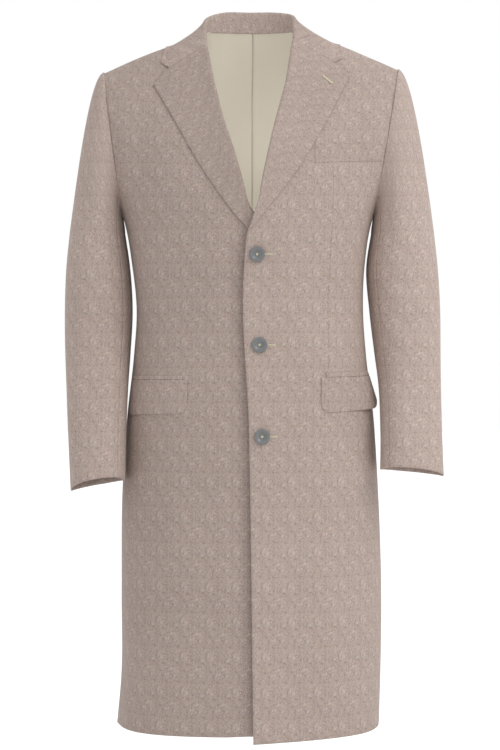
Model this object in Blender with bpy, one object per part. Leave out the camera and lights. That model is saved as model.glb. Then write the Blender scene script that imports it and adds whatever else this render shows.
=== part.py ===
"""A man's long single-breasted topcoat, filled out as if worn, with no wearer inside.

Units are metres and +Z is up. The coat faces -Y and the wearer's left is at +X. The origin is between
the shoulders, level with the shoulder seams, where the wearer carries the coat.
"""

import math

import bpy
import numpy as np
from mathutils import Vector

for old_object in list(bpy.data.objects):
    bpy.data.objects.remove(old_object, do_unlink=True)

# Walls of cloth, and the gaps between pieces
WOOL = 0.0020
TURNED = 0.0026
LINING = 0.0012
SEAM = 0.0003
LAY = 0.0009
LINING_GAP = 0.0011

# Heights of the body
HEM_SIDE = -1.060
HEM_LEFT = -1.070
HEM_RIGHT = -1.059
UNDERARM = -0.250
BACK_NECK = 0.045
SLEEVE_RING = -0.278
SKIRT_TOP = -0.600

# Distances across, from the middle of the coat
NECK_POINT = {"right": 0.0750, "left": 0.0780}
SHOULDER_POINT = {"right": 0.2330, "left": 0.2365}
SIGN = {"right": -1.0, "left": 1.0}

# How square the body and the sleeves are in plan: 2 is an ellipse
BODY_SQUARE = 2.4
SLEEVE_SQUARE = 2.2

# How far below the shoulder seam the cloth has turned fully to the front or back, and how sharply it turns
TURN = {"front": {"neck": (0.220, 0.80), "end": (0.125, 0.50)},
        "back": {"neck": (0.160, 0.50), "end": (0.125, 0.50)}}

# The body at each height: half its width on each side, and its depth to the front and to the back
BODY = (
    ("height", "half_right", "half_left", "front", "back"),
    (
        (-1.071, 0.2080, 0.2050, 0.1310, 0.1260),
        (-0.980, 0.2015, 0.2080, 0.1300, 0.1260),
        (-0.850, 0.2030, 0.2095, 0.1290, 0.1270),
        (-0.680, 0.2030, 0.2040, 0.1280, 0.1260),
        (-0.570, 0.1960, 0.1970, 0.1250, 0.1210),
        (-0.470, 0.1850, 0.1850, 0.1190, 0.1080),
        (-0.400, 0.1810, 0.1805, 0.1170, 0.1010),
        (-0.330, 0.1880, 0.1830, 0.1220, 0.1080),
        (-0.250, 0.2035, 0.1975, 0.1270, 0.1190),
        (-0.200, 0.2245, 0.2195, 0.1190, 0.1230),
        (-0.150, 0.2415, 0.2405, 0.1070, 0.1210),
        (-0.085, 0.2680, 0.2700, 0.0880, 0.1130),
        (-0.040, 0.3000, 0.3040, 0.0780, 0.1040),
        (0.080, 0.3400, 0.3450, 0.0700, 0.0850),
    ),
)

# The line of the shoulder seams, from the wearer's right to the left
SHOULDER = (
    ("across", "height"),
    (
        (-0.300, -0.0520),
        (-0.232, -0.0215),
        (-0.178, 0.0030),
        (-0.120, 0.0245),
        (-0.075, 0.0380),
        (0.000, 0.0750),
        (0.078, 0.0410),
        (0.130, 0.0280),
        (0.192, 0.0030),
        (0.2445, -0.0205),
        (0.300, -0.0470),
    ),
)

# The inner edge of each front: its front edge from the hem to the top button, then its roll line to the neck
FRONT_EDGE = {
    "right": (
        ("height", "across"),
        (
            (-1.059, 0.0440),
            (-0.599, 0.0380),
            (-0.318, 0.0330),
            (-0.280, 0.0240),
            (-0.252, 0.0060),
            (-0.179, -0.0185),
            (-0.102, -0.0420),
            (-0.028, -0.0580),
            (0.016, -0.0665),
            (0.038, -0.0750),
        ),
    ),
    "left": (
        ("height", "across"),
        (
            (-1.070, 0.0050),
            (-0.599, -0.0015),
            (-0.318, -0.0077),
            (-0.280, -0.0030),
            (-0.252, 0.0050),
            (-0.166, 0.0260),
            (-0.104, 0.0400),
            (-0.044, 0.0550),
            (0.009, 0.0630),
            (0.041, 0.0780),
        ),
    ),
}

# The right front sinks under the left one over this width, and the left one stands proud at its edge
LAP_RAMP = 0.030
LAP_SINK = 0.0026
LAP_PROUD = 0.0008
LAP_PROUD_WIDTH = 0.060
LAP_LEVEL = 0.004
LAP_TOP = -0.200
LAP_TOP_SOFTNESS = 0.050

# The lapels, from the top button to the gorge seam: height on the roll line, then the outer edge
LAPEL = {
    "right": (
        ("along", "roll_height", "edge_across", "edge_height"),
        (
            (0.00, -0.2430, -0.0060, -0.2690),
            (0.25, -0.1900, -0.0410, -0.2320),
            (0.50, -0.1230, -0.0770, -0.1810),
            (0.75, -0.0520, -0.1120, -0.1190),
            (1.00, 0.0130, -0.1520, -0.0475),
        ),
    ),
    "left": (
        ("along", "roll_height", "edge_across", "edge_height"),
        (
            (0.00, -0.2570, 0.0015, -0.2800),
            (0.25, -0.1920, 0.0330, -0.2410),
            (0.50, -0.1260, 0.0770, -0.1820),
            (0.75, -0.0520, 0.1200, -0.1080),
            (1.00, 0.0170, 0.1580, -0.0315),
        ),
    ),
}
LAPEL_ROLL = 0.0016
NOTCH_SHARE = 0.70
NOTCH_RISE = 0.0085

# The collar from the centre back to its front end: the fold, the foot of the stand, and the leaf's edge in plan
COLLAR_COLUMNS = (
    "along", "fold_x", "fold_y", "fold_z", "foot_x", "foot_y", "foot_z", "edge_x", "edge_y",
)
COLLAR = {
    "right": (
        COLLAR_COLUMNS,
        (
            (0.00, 0.0000, 0.0460, 0.0835, 0.0000, 0.0480, 0.0470, 0.0000, 0.0750),
            (0.25, -0.0390, 0.0400, 0.0815, -0.0400, 0.0400, 0.0460, -0.0560, 0.0690),
            (0.48, -0.0640, 0.0190, 0.0690, -0.0660, 0.0180, 0.0430, -0.1010, 0.0460),
            (0.66, -0.0690, 0.0030, 0.0590, -0.0715, 0.0020, 0.0410, -0.1280, 0.0150),
            (0.80, -0.0690, -0.0080, 0.0465, -0.0690, -0.0080, 0.0360, -0.1350, -0.0030),
            (0.91, -0.0675, -0.0180, 0.0340, -0.0650, -0.0170, 0.0270, -0.1390, -0.0160),
            (1.00, -0.0660, -0.0260, 0.0220, -0.0620, -0.0240, 0.0150, -0.1420, -0.0300),
        ),
    ),
    "left": (
        COLLAR_COLUMNS,
        (
            (0.00, 0.0000, 0.0460, 0.0835, 0.0000, 0.0480, 0.0470, 0.0000, 0.0750),
            (0.25, 0.0390, 0.0400, 0.0820, 0.0400, 0.0400, 0.0460, 0.0560, 0.0690),
            (0.48, 0.0640, 0.0190, 0.0735, 0.0660, 0.0180, 0.0450, 0.1050, 0.0460),
            (0.66, 0.0685, 0.0030, 0.0640, 0.0715, 0.0020, 0.0440, 0.1380, 0.0150),
            (0.80, 0.0680, -0.0080, 0.0530, 0.0690, -0.0080, 0.0400, 0.1450, -0.0030),
            (0.91, 0.0670, -0.0150, 0.0420, 0.0650, -0.0150, 0.0330, 0.1470, -0.0160),
            (1.00, 0.0655, -0.0220, 0.0300, 0.0620, -0.0210, 0.0230, 0.1480, -0.0280),
        ),
    ),
}
COLLAR_FOLD_RADIUS = 0.0030
COLLAR_SAG = 0.0040
COLLAR_LIFT = 0.0012
COLLAR_NOTCH = {"right": (-0.1260, -0.0165), "left": (0.1310, -0.0085)}
COLLAR_NOTCH_SHARE = 0.80
COLLAR_CORNER_FROM = 0.90

# The sleeves below the armhole: inner and outer side, how far forward the middle is, and half the depth
SLEEVE_COLUMNS = ("height", "inner", "outer", "forward", "half_depth")
SLEEVE = {
    "right": (
        SLEEVE_COLUMNS,
        (
            (-0.690, 0.1970, 0.2765, 0.0780, 0.0460),
            (-0.580, 0.1960, 0.2835, 0.0560, 0.0500),
            (-0.520, 0.1945, 0.2875, 0.0360, 0.0530),
            (-0.470, 0.1925, 0.2915, 0.0140, 0.0560),
            (-0.400, 0.1900, 0.2935, 0.0000, 0.0610),
            (-0.330, 0.1945, 0.2910, -0.0020, 0.0660),
            (-0.278, 0.2020, 0.2855, 0.0000, 0.0690),
        ),
    ),
    "left": (
        SLEEVE_COLUMNS,
        (
            (-0.690, 0.2050, 0.3015, 0.0740, 0.0460),
            (-0.580, 0.2070, 0.2990, 0.0520, 0.0500),
            (-0.520, 0.2055, 0.2995, 0.0320, 0.0530),
            (-0.470, 0.2005, 0.3010, 0.0120, 0.0560),
            (-0.400, 0.1930, 0.3015, 0.0000, 0.0610),
            (-0.330, 0.1885, 0.2975, -0.0020, 0.0660),
            (-0.278, 0.1960, 0.2915, 0.0000, 0.0690),
        ),
    ),
}
CUFF = {"right": {"height": -0.6770, "slant": 0.0080, "front_rise": 0.0130},
        "left": {"height": -0.6575, "slant": 0.0050, "front_rise": 0.0100}}
FORE_SEAM = math.radians(140)
HIND_SEAM = math.radians(240)

# How far the sleeve cloth runs out from the armhole before it turns down, at the shoulder and underarm
HEAD_OUT = (0.060, 0.014)
HEAD_FORWARD = 0.40
HEAD_DROP = 0.30
HEAD_DOWN = 1.45
HEAD_LEAST_DOWN = 0.030
HEAD_SLANT = 0.13

# Soft folds of the skirt, which deepen from the hips to the hem: place round the body, spread and depth
FLUTE_GROWTH = 1.3
FLUTES = (
    ("around", "spread", "depth"),
    (
        (38.0, 15.0, 0.0035),
        (136.0, 16.0, 0.0030),
        (184.0, 12.0, 0.0060),
        (214.0, 11.0, -0.0035),
        (241.0, 12.0, 0.0055),
        (282.0, 10.0, 0.0040),
        (312.0, 13.0, -0.0040),
        (343.0, 13.0, 0.0045),
    ),
)

# Hip pockets: share of the body's half width where the flap starts and ends, and the heights of its edges
POCKET = {
    "right": {"start": 0.510, "end": 0.975, "jet_top": -0.505, "flap_top": -0.511, "flap_foot": -0.5640},
    "left": {"start": 0.585, "end": 0.985, "jet_top": -0.4975, "flap_top": -0.5065, "flap_foot": -0.5620},
}
FLAP_CORNER = 0.016
FLAP_CORNER_SHARE = 0.12
FLAP_FLARE = {"right": 0.0012, "left": 0.0050}
FLAP_FLARE_FROM = 0.35
FLAP_FOOT_TILT = 0.5
POCKET_TILT = 0.004

# Breast pocket welt: across and height of its two ends
WELT_START = (0.1000, -0.1770)
WELT_END = (0.2060, -0.1695)
WELT_HEIGHT = 0.0285
WELT_THICK = 0.0018

# The back lining stops short of the hem by a share of the net's first row, and short of the neck by its last one
LINING_SHORT_HEM = 0.40

# Buttons: across and height of each, and the turned disc
BUTTONS = (
    ("across", "height"),
    ((0.0107, -0.3185), (0.0147, -0.4580), (0.0184, -0.5990)),
)
BUTTON_RADIUS = 0.0120
BUTTON_THICK = 0.0042
BUTTON_STANDOFF = 0.0005
BUTTON_SIDES = 24
# Section of the disc from its foot to its dish, in shares of its radius and thickness
BUTTON_SECTION = (
    ("radius", "rise"),
    ((0.82, 0.0), (1.0, 0.45), (0.97, 0.85), (0.89, 1.0), (0.82, 0.93), (0.52, 0.67)),
)
HOLE_RADIUS = 0.0011
HOLE_SPACING = 0.0023
HOLE_SIDES = 8

# Net of each piece
LOW_STEPS = 14
ARM_STEPS = 9
LOW_CROWDING = 1.15
FRONT_COLUMNS = 10
NECK_COLUMNS = 3
BACK_COLUMNS = 6
HEAD_ROWS = (0.0, 0.08, 0.20, 0.36, 0.55, 0.77)
ARM_ROWS = 11
LAPEL_ROWS = 10
LAPEL_COLUMNS = 6
COLLAR_SECTIONS = 14
LEAF_COLUMNS = 5
CORNER_STEPS = 3
FLAP_COLUMNS = 6
WELT_COLUMNS = 9
FLAP_ROWS = 4
STEP = 1e-5
SHOULDER_SEARCH = 0.16
SHOULDER_HALVINGS = 40
SHARP_ANGLE = math.radians(40)

# Colours: base colour and roughness
WOOL_LOOK = ((0.42, 0.34, 0.30), 0.92)
LINING_LOOK = ((0.53, 0.48, 0.37), 0.55)
BUTTON_LOOK = ((0.21, 0.215, 0.22), 0.35)

topcoat = bpy.data.objects.new("topcoat", None)
bpy.context.scene.collection.objects.link(topcoat)


def read(table, column, place):
    """Smooth value of one column of a table at each place along its first column."""
    names, rows = table
    data = np.array(rows)
    knots = data[:, 0]
    values = data[:, names.index(column)]
    slopes = np.gradient(values, knots)
    place = np.clip(np.asarray(place, float), knots[0], knots[-1])
    before = np.clip(np.searchsorted(knots, place) - 1, 0, len(knots) - 2)
    span = knots[before + 1] - knots[before]
    t = (place - knots[before]) / span
    near = (1 + 2 * t) * (1 - t) ** 2 * values[before] + t * (1 - t) ** 2 * span * slopes[before]
    far = t * t * (3 - 2 * t) * values[before + 1] + t * t * (t - 1) * span * slopes[before + 1]
    return near + far


def ease(t):
    """0 to 1 with level ends."""
    t = np.clip(t, 0.0, 1.0)
    return t * t * (3 - 2 * t)


def unit(vectors):
    return vectors / np.maximum(np.linalg.norm(vectors, axis=-1, keepdims=True), 1e-12)


def body_half(x, z):
    return np.where(x > 0, read(BODY, "half_left", z), read(BODY, "half_right", z))


def body_depth(x, z, face):
    """Depth of the body at its middle, less what the cloth loses where it turns over the shoulder."""
    neck_reach, neck_power = TURN[face]["neck"]
    end_reach, end_power = TURN[face]["end"]
    outward = np.clip((np.abs(x) - NECK_POINT["right"]) / (SHOULDER_POINT["right"] - NECK_POINT["right"]), 0, 1)
    reach = neck_reach + (end_reach - neck_reach) * outward
    power = neck_power + (end_power - neck_power) * outward
    drop = np.clip((read(SHOULDER, "height", x) - z) / reach, 0.0, 1.0)
    return read(BODY, face, z) * (1 - (1 - drop) ** 2) ** power


def body_level(x, y, z, face):
    """1 on the body's outer face, less inside it."""
    depth = np.maximum(body_depth(x, z, face), STEP)
    return (np.abs(x) / body_half(x, z)) ** BODY_SQUARE + (np.abs(y) / depth) ** BODY_SQUARE


def drape(around, z):
    """How far the skirt's soft folds stand out, at an angle round the body in degrees."""
    deepen = np.clip((SKIRT_TOP - z) / (SKIRT_TOP - HEM_SIDE), 0, 1) ** FLUTE_GROWTH
    total = np.zeros(np.shape(z))
    for place, spread, depth in FLUTES[1]:
        total = total + depth * np.exp(-(((around - place) / spread) ** 2))
    return total * deepen


def body_face(x, z, face):
    """Points and outward directions on the body's outer face, from their place across and their height."""
    x, z = np.broadcast_arrays(np.asarray(x, float), np.asarray(z, float))
    toward = -1.0 if face == "front" else 1.0
    lean = np.clip(np.abs(x) / body_half(x, z), 0, 1)
    plan = (1 - lean**BODY_SQUARE) ** (1 / BODY_SQUARE)
    y = body_depth(x, z, face) * plan
    grow_x = body_level(x + STEP, y, z, face) - body_level(x - STEP, y, z, face)
    grow_y = body_level(x, y + STEP, z, face) - body_level(x, y - STEP, z, face)
    grow_z = body_level(x, y, z + STEP, face) - body_level(x, y, z - STEP, face)
    outward = unit(np.stack([grow_x, toward * grow_y, grow_z], axis=-1))
    around = np.degrees(np.arctan2(-toward * plan, np.sign(x) * lean)) % 360
    points = np.stack([x, toward * (y + SEAM / 2), z], axis=-1)
    return points + outward * drape(around, z)[..., None], outward


def shoulder_top(x, y):
    """Height of the body's outer face over a place in plan near the neck and shoulders."""
    x, y = np.broadcast_arrays(np.asarray(x, float), np.asarray(y, float))
    high = read(SHOULDER, "height", x)
    low = high - SHOULDER_SEARCH
    for _ in range(SHOULDER_HALVINGS):
        middle = (high + low) / 2
        lean = np.clip(np.abs(x) / body_half(x, middle), 0, 1)
        plan = (1 - lean**BODY_SQUARE) ** (1 / BODY_SQUARE)
        reach = np.where(y < 0, body_depth(x, middle, "front"), body_depth(x, middle, "back")) * plan
        high = np.where(reach > np.abs(y), high, middle)
        low = np.where(reach > np.abs(y), middle, low)
    return (high + low) / 2


def finish(name, vertices, faces, look):
    """A closed solid with its faces turned out and a material of its own."""
    vertices = np.asarray(vertices, float)
    volume = 0.0
    for face in faces:
        for second, third in zip(face[1:-1], face[2:]):
            volume += np.dot(vertices[face[0]], np.cross(vertices[second], vertices[third]))
    if volume < 0:
        faces = [face[::-1] for face in faces]
    mesh = bpy.data.meshes.new(name)
    mesh.from_pydata([tuple(v) for v in vertices], [], faces)
    mesh.shade_smooth()
    mesh.set_sharp_from_angle(angle=SHARP_ANGLE)
    piece = bpy.data.objects.new(name, mesh)
    bpy.context.scene.collection.objects.link(piece)
    piece.parent = topcoat
    paint(piece, name, look)
    return piece


def paint(piece, name, look):
    colour, roughness = look
    material = bpy.data.materials.new(name)
    material.use_nodes = True
    shader = material.node_tree.nodes["Principled BSDF"]
    shader.inputs["Base Color"].default_value = (*colour, 1.0)
    shader.inputs["Roughness"].default_value = roughness
    shader.inputs["Metallic"].default_value = 0.0
    piece.data.materials.append(material)


def wall(name, outer, inner, look):
    """A wall of cloth between two nets of the same rows and columns."""
    rows, columns = outer.shape[:2]
    count = rows * columns
    faces = []
    for r in range(rows - 1):
        for c in range(columns - 1):
            a = r * columns + c
            b = a + columns
            for corners in ((a, a + 1, b + 1), (a, b + 1, b)):
                faces.append(corners)
                faces.append(tuple(count + k for k in reversed(corners)))
    rim = list(range(columns))
    rim += [r * columns + columns - 1 for r in range(1, rows)]
    rim += [(rows - 1) * columns + c for c in range(columns - 2, -1, -1)]
    rim += [r * columns for r in range(rows - 2, 0, -1)]
    for here, there in zip(rim, rim[1:] + rim[:1]):
        faces.append((there, here, count + here, count + there))
    return finish(name, np.concatenate([outer.reshape(-1, 3), inner.reshape(-1, 3)]), faces, look)


def facing_out(net):
    """Direction square to a net at each of its points, from its rows and columns."""
    return unit(np.cross(np.gradient(net, axis=1), np.gradient(net, axis=0)))


def armhole(side, turn):
    """Point of the armhole: turn 0 at the shoulder point, a quarter at the front, half at the underarm."""
    sign = SIGN[side]
    turn = np.asarray(turn, float) % (2 * math.pi)
    top = read(SHOULDER, "height", sign * SHOULDER_POINT[side])
    rise = (1 + np.cos(turn)) / 2
    low = body_half(np.array(sign), np.array(UNDERARM))
    x = sign * (low + (SHOULDER_POINT[side] - low) * rise)
    z = UNDERARM + (top - UNDERARM) * rise
    front = body_face(x, z, "front")[0]
    back = body_face(x, z, "back")[0]
    return np.where((turn <= math.pi)[..., None], front, back)


def panel_net(side, inner, hem, shares, neck_height, top):
    """Across and height of a body panel: rows from hem to shoulder, columns from its inner edge outward.

    inner gives the inner edge's place across at a height, and top the top edge's height at a place across.
    """
    sign = SIGN[side]
    inner_hem, outer_hem = hem
    down = np.linspace(1, 0, LOW_STEPS + 1) ** LOW_CROWDING
    inner_height = UNDERARM + (inner_hem - UNDERARM) * down
    outer_height = UNDERARM + (outer_hem - UNDERARM) * down
    inner_x = inner(inner_height)[:, None]
    outer_x = sign * body_half(np.full_like(down, sign), outer_height)[:, None]
    low_x = inner_x + (outer_x - inner_x) * shares
    low_z = inner_height[:, None] + (outer_height - inner_height)[:, None] * shares
    rise = (1 - np.cos(np.linspace(0, math.pi, ARM_STEPS + 1)[1:])) / 2
    arm_x = armhole(side, np.arccos(2 * rise - 1))[:, 0][:, None]
    high_inner = inner(UNDERARM + (neck_height - UNDERARM) * rise)[:, None]
    high_x = high_inner + (arm_x - high_inner) * shares
    high_z = UNDERARM + (top(high_x[-1]) - UNDERARM) * rise[:, None]
    return np.concatenate([low_x, high_x]), np.concatenate([low_z, high_z])


def level_seam(outward, x, z):
    """The shoulder seam's end of a panel faces straight up off the seam, and neither forward nor back."""
    slope = (read(SHOULDER, "height", x[-1] + STEP) - read(SHOULDER, "height", x[-1] - STEP)) / (2 * STEP)
    on_seam = np.abs(z[-1] - read(SHOULDER, "height", x[-1])) < STEP
    up = unit(np.stack([-slope, np.zeros_like(slope), np.ones_like(slope)], axis=-1))
    outward[-1] = np.where(on_seam[:, None], up, outward[-1])
    return outward


def front_edge(side):
    return lambda height: read(FRONT_EDGE[side], "across", height)


def lap_lift(side, x, z):
    """The lap of the fronts: the right one sinks under the left one's edge, and that edge stands proud."""
    past_edge = x - read(FRONT_EDGE["left"], "across", z)
    if side == "left":
        return LAP_PROUD * (1 - ease(past_edge / LAP_PROUD_WIDTH))
    below_break = ease((LAP_TOP - z) / LAP_TOP_SOFTNESS)
    return -LAP_SINK * ease((past_edge + LAP_RAMP) / (LAP_RAMP - LAP_LEVEL)) * below_break


def front_points(side, x, z):
    """Points and outward directions on the outer face of a front, lap included."""
    points, outward = body_face(x, z, "front")
    return points + outward * lap_lift(side, x, z)[..., None], outward


def front(side, hem_middle):
    shares = np.sin(np.linspace(0, math.pi / 2, FRONT_COLUMNS + 1))
    neck_height = FRONT_EDGE[side][1][-1][0]

    def top(across):
        return read(SHOULDER, "height", across)

    x, z = panel_net(side, front_edge(side), (hem_middle, HEM_SIDE), shares, neck_height, top)
    outer, outward = front_points(side, x, z)
    outward = level_seam(outward, x, z)
    wall("front_" + side, outer, outer - WOOL * outward, WOOL_LOOK)


def back_net(side):
    """Across and height of one half of the back."""
    sign = SIGN[side]
    neck = NECK_POINT[side]
    neck_share = neck / SHOULDER_POINT[side]
    inside = np.linspace(0, neck_share, NECK_COLUMNS + 1)[:-1]
    outside = neck_share + (1 - neck_share) * np.sin(np.linspace(0, math.pi / 2, BACK_COLUMNS + 1))
    shares = np.concatenate([inside, outside])
    neck_end = read(SHOULDER, "height", sign * neck)

    def top(across):
        scoop = BACK_NECK + (neck_end - BACK_NECK) * (across / neck) ** 2
        return np.where(np.abs(across) < neck - STEP, scoop, read(SHOULDER, "height", across))

    def middle(height):
        return np.full(np.shape(height), sign * SEAM / 2)

    return panel_net(side, middle, (HEM_SIDE, HEM_SIDE), shares, BACK_NECK, top)


def back(side):
    x, z = back_net(side)
    outer, outward = body_face(x, z, "back")
    outward = level_seam(outward, x, z)
    outward[:, 0, 0] = 0.0
    wall("back_" + side, outer, outer - WOOL * unit(outward), WOOL_LOOK)


def lining(side):
    """Half of the back lining, just inside the back, short of its hem, shoulder, armhole and side seam."""
    x, z = back_net(side)
    outer, outward = body_face(x, z, "back")
    outward = level_seam(outward, x, z)
    outward[:, 0, 0] = 0.0
    outward = unit(outward)
    outer = outer - (WOOL + LINING_GAP) * outward
    inner = outer - LINING * outward
    for net in (outer, inner):
        net[0] += (net[1] - net[0]) * LINING_SHORT_HEM
    wall("lining_" + side, outer[:-1, :-1], inner[:-1, :-1], LINING_LOOK)


def sleeve_ring(side, turn, height):
    """Point of the sleeve below the armhole, at a turn round it and a height in its table."""
    table = SLEEVE[side]
    inner = read(table, "inner", height)
    outer = read(table, "outer", height)
    cosine, sine = np.cos(turn), np.sin(turn)
    power = 2 / SLEEVE_SQUARE
    x = (inner + outer) / 2 + (outer - inner) / 2 * np.sign(cosine) * np.abs(cosine) ** power
    y = -read(table, "forward", height) - read(table, "half_depth", height) * np.sign(sine) * np.abs(sine) ** power
    cuff = CUFF[side]
    rim = cuff["height"] - cuff["slant"] * cosine + cuff["front_rise"] * np.clip(sine, 0, 1)
    share = (SLEEVE_RING - height) / (SLEEVE_RING - cuff["height"])
    z = height + (rim - cuff["height"]) * share**3
    return np.stack(np.broadcast_arrays(SIGN[side] * x, y, z), axis=-1)


def sleeve_head(side, turn, share):
    """Point of the sleeve between the armhole and its first whole ring."""
    start = armhole(side, turn)
    end = sleeve_ring(side, turn, SLEEVE_RING)
    low = ((1 - np.cos(turn)) / 2)[:, None]
    out = np.stack([
        np.full_like(turn, SIGN[side]),
        -HEAD_FORWARD * np.sin(turn),
        np.full_like(turn, -HEAD_DROP),
    ], axis=-1)
    leave = out * (HEAD_OUT[0] + (HEAD_OUT[1] - HEAD_OUT[0]) * low)
    down = np.maximum(HEAD_DOWN * (start[:, 2:] - SLEEVE_RING), HEAD_LEAST_DOWN)
    slant = SIGN[side] * HEAD_SLANT * (1 - low) * down
    arrive = np.concatenate([slant, np.zeros_like(down), -down], axis=1)
    start = start + unit(out) * SEAM * 2
    t = share
    near = (1 + 2 * t) * (1 - t) ** 2 * start + t * (1 - t) ** 2 * leave
    return near + t * t * (3 - 2 * t) * end + t * t * (t - 1) * arrive


def sleeve_net(side, turn):
    rows = [sleeve_head(side, turn, share) for share in HEAD_ROWS]
    rows += [sleeve_ring(side, turn, h) for h in np.linspace(SLEEVE_RING, CUFF[side]["height"], ARM_ROWS + 1)]
    return np.stack(rows)


def sleeve(side):
    """Top sleeve and under sleeve, joined along the front and hind arm."""
    step = math.pi / ARM_STEPS
    under_count = round((HIND_SEAM - FORE_SEAM) / step)
    under = FORE_SEAM + step * np.arange(under_count + 1)
    top = under[-1] + step * np.arange(2 * ARM_STEPS - under_count + 1)
    part = SEAM / 2 / np.mean(read(SLEEVE[side], "half_depth", [CUFF[side]["height"], SLEEVE_RING]))
    for name, turn in (("under", under), ("top", top)):
        turn = turn.copy()
        turn[0] += part
        turn[-1] -= part
        outer = sleeve_net(side, turn)
        ahead = sleeve_net(side, turn + STEP * 10)
        behind = sleeve_net(side, turn - STEP * 10)
        outward = unit(np.cross(np.gradient(outer, axis=0), ahead - behind)) * SIGN[side]
        wall("sleeve_" + name + "_" + side, outer, outer - WOOL * outward, WOOL_LOOK)


def lapel(side):
    """The facing of one front, folded out at the roll line and laid back on the front."""
    along = np.linspace(0, 1, LAPEL_ROWS + 1)[:, None]
    share = np.linspace(0, 1, LAPEL_COLUMNS + 1)[None, :]
    roll_z = read(LAPEL[side], "roll_height", along)
    roll_x = front_edge(side)(roll_z)
    edge_x = read(LAPEL[side], "edge_across", along)
    edge_z = read(LAPEL[side], "edge_height", along)
    x = roll_x + (edge_x - roll_x) * share
    peak = np.minimum(share / NOTCH_SHARE, (1 - share) / (1 - NOTCH_SHARE))
    z = roll_z + (edge_z - roll_z) * share + NOTCH_RISE * peak * along**8
    points, outward = front_points(side, x, z)
    middle = LAY + TURNED / 2 + LAPEL_ROLL * (1 - share[..., None]) ** 2
    leaf = points + outward * middle
    wall("lapel_" + side, leaf + outward * TURNED / 2, leaf - outward * TURNED / 2, WOOL_LOOK)


def collar_side(side, along):
    """Middle of the collar's cloth on one side: rows along the neck, columns from foot over fold to leaf edge."""
    table = COLLAR[side]
    fold = np.stack([read(table, "fold_" + axis, along) for axis in "xyz"], axis=-1)
    foot = np.stack([read(table, "foot_" + axis, along) for axis in "xyz"], axis=-1)
    edge_x = read(table, "edge_x", along)
    edge_y = read(table, "edge_y", along)
    lift = LAY + TURNED / 2 + COLLAR_LIFT
    edge = np.stack([edge_x, edge_y, shoulder_top(edge_x, edge_y) + lift], axis=-1)
    level = unit((edge - fold) * (1.0, 1.0, 0.0))
    up = np.array([0.0, 0.0, 1.0])
    centre = fold - up * COLLAR_FOLD_RADIUS
    turns = np.radians((180.0, 135.0, 90.0, 45.0, 0.0))
    over = [centre + COLLAR_FOLD_RADIUS * (level * math.cos(a) + up * math.sin(a)) for a in turns]
    stand = [foot, (foot + over[0]) / 2]
    leaf = []
    notch_x, notch_z = COLLAR_NOTCH[side]
    notch = body_face(notch_x, notch_z, "front")[0]
    last = ease((along - COLLAR_CORNER_FROM) / (1 - COLLAR_CORNER_FROM))[:, None] ** 2
    corner = (notch - (over[-1] + (edge - over[-1]) * COLLAR_NOTCH_SHARE))[:, :2] * last
    for share in np.linspace(0, 1, LEAF_COLUMNS + 1)[1:]:
        point = over[-1] + (edge - over[-1]) * share
        peak = min(share / COLLAR_NOTCH_SHARE, (1 - share) / (1 - COLLAR_NOTCH_SHARE))
        point[:, :2] += corner * peak
        sag = COLLAR_SAG * 4 * share * (1 - share)
        least = shoulder_top(point[:, 0], point[:, 1]) + lift
        point[:, 2] = np.maximum(point[:, 2] - sag, least)
        leaf.append(point)
    return np.stack(stand + over + leaf, axis=1)


def collar():
    along = np.linspace(0, 1, COLLAR_SECTIONS + 1)
    right = collar_side("right", along)
    left = collar_side("left", along)
    net = np.concatenate([right[::-1], left[1:]])
    outward = facing_out(net)
    if outward[COLLAR_SECTIONS, -1, 1] < 0:
        outward = -outward
    wall("collar", net + outward * TURNED / 2, net - outward * TURNED / 2, WOOL_LOOK)


def laid_on_front(name, side, x, z, lift, thick):
    """A strip or leaf of cloth that lies on a front, made from its points."""
    points, outward = front_points(side, x, z)
    lift = np.broadcast_to(lift, x.shape)[..., None]
    wall(name, points + outward * (lift + thick), points + outward * lift, WOOL_LOOK)


def hip_pocket(side):
    """Jet strip along the pocket mouth, and the flap that hangs from it with rounded lower corners."""
    sign = SIGN[side]
    size = POCKET[side]
    start = math.acos(size["end"] ** (BODY_SQUARE / 2))
    stop = math.acos(size["start"] ** (BODY_SQUARE / 2))
    near_end = FLAP_CORNER_SHARE * (1 - np.cos(np.linspace(0, math.pi / 2, CORNER_STEPS + 1)))
    between = np.linspace(FLAP_CORNER_SHARE, 1 - FLAP_CORNER_SHARE, FLAP_COLUMNS + 1)[1:-1]
    along = np.concatenate([near_end, between, (1 - near_end)[::-1]])
    lean = np.cos(stop + (start - stop) * along) ** (2 / BODY_SQUARE)
    tilt = POCKET_TILT * along
    heights = np.stack([np.full_like(along, size["flap_top"] + SEAM), np.full_like(along, size["jet_top"])])
    z = heights + tilt
    x = sign * lean * body_half(np.full_like(z, sign), z)
    laid_on_front("jet_" + side, side, x, z, LAY / 2, WOOL)
    round_off = np.clip(1 - np.minimum(along, 1 - along) / FLAP_CORNER_SHARE, 0, 1)
    corner = FLAP_CORNER * (1 - np.sqrt(1 - round_off**2))
    down = np.linspace(0, 1, FLAP_ROWS + 1)[:, None]
    foot = size["flap_foot"] + tilt * FLAP_FOOT_TILT + corner
    top = size["flap_top"] - SEAM + tilt
    z = top + (foot - top) * down
    x = sign * lean * body_half(np.full_like(z, sign), z)
    lift = LAY + FLAP_FLARE[side] * down**2 * ease((along - FLAP_FLARE_FROM) / (1 - FLAP_FLARE_FROM))
    laid_on_front("flap_" + side, side, x, z, lift, TURNED)


def breast_welt():
    along = np.linspace(0, 1, WELT_COLUMNS + 1)
    x = WELT_START[0] + (WELT_END[0] - WELT_START[0]) * along
    foot = WELT_START[1] + (WELT_END[1] - WELT_START[1]) * along
    z = foot + np.array([0.0, 0.5, 1.0])[:, None] * WELT_HEIGHT
    laid_on_front("breast_welt", "left", np.broadcast_to(x, z.shape), z, LAY, WELT_THICK)


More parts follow.
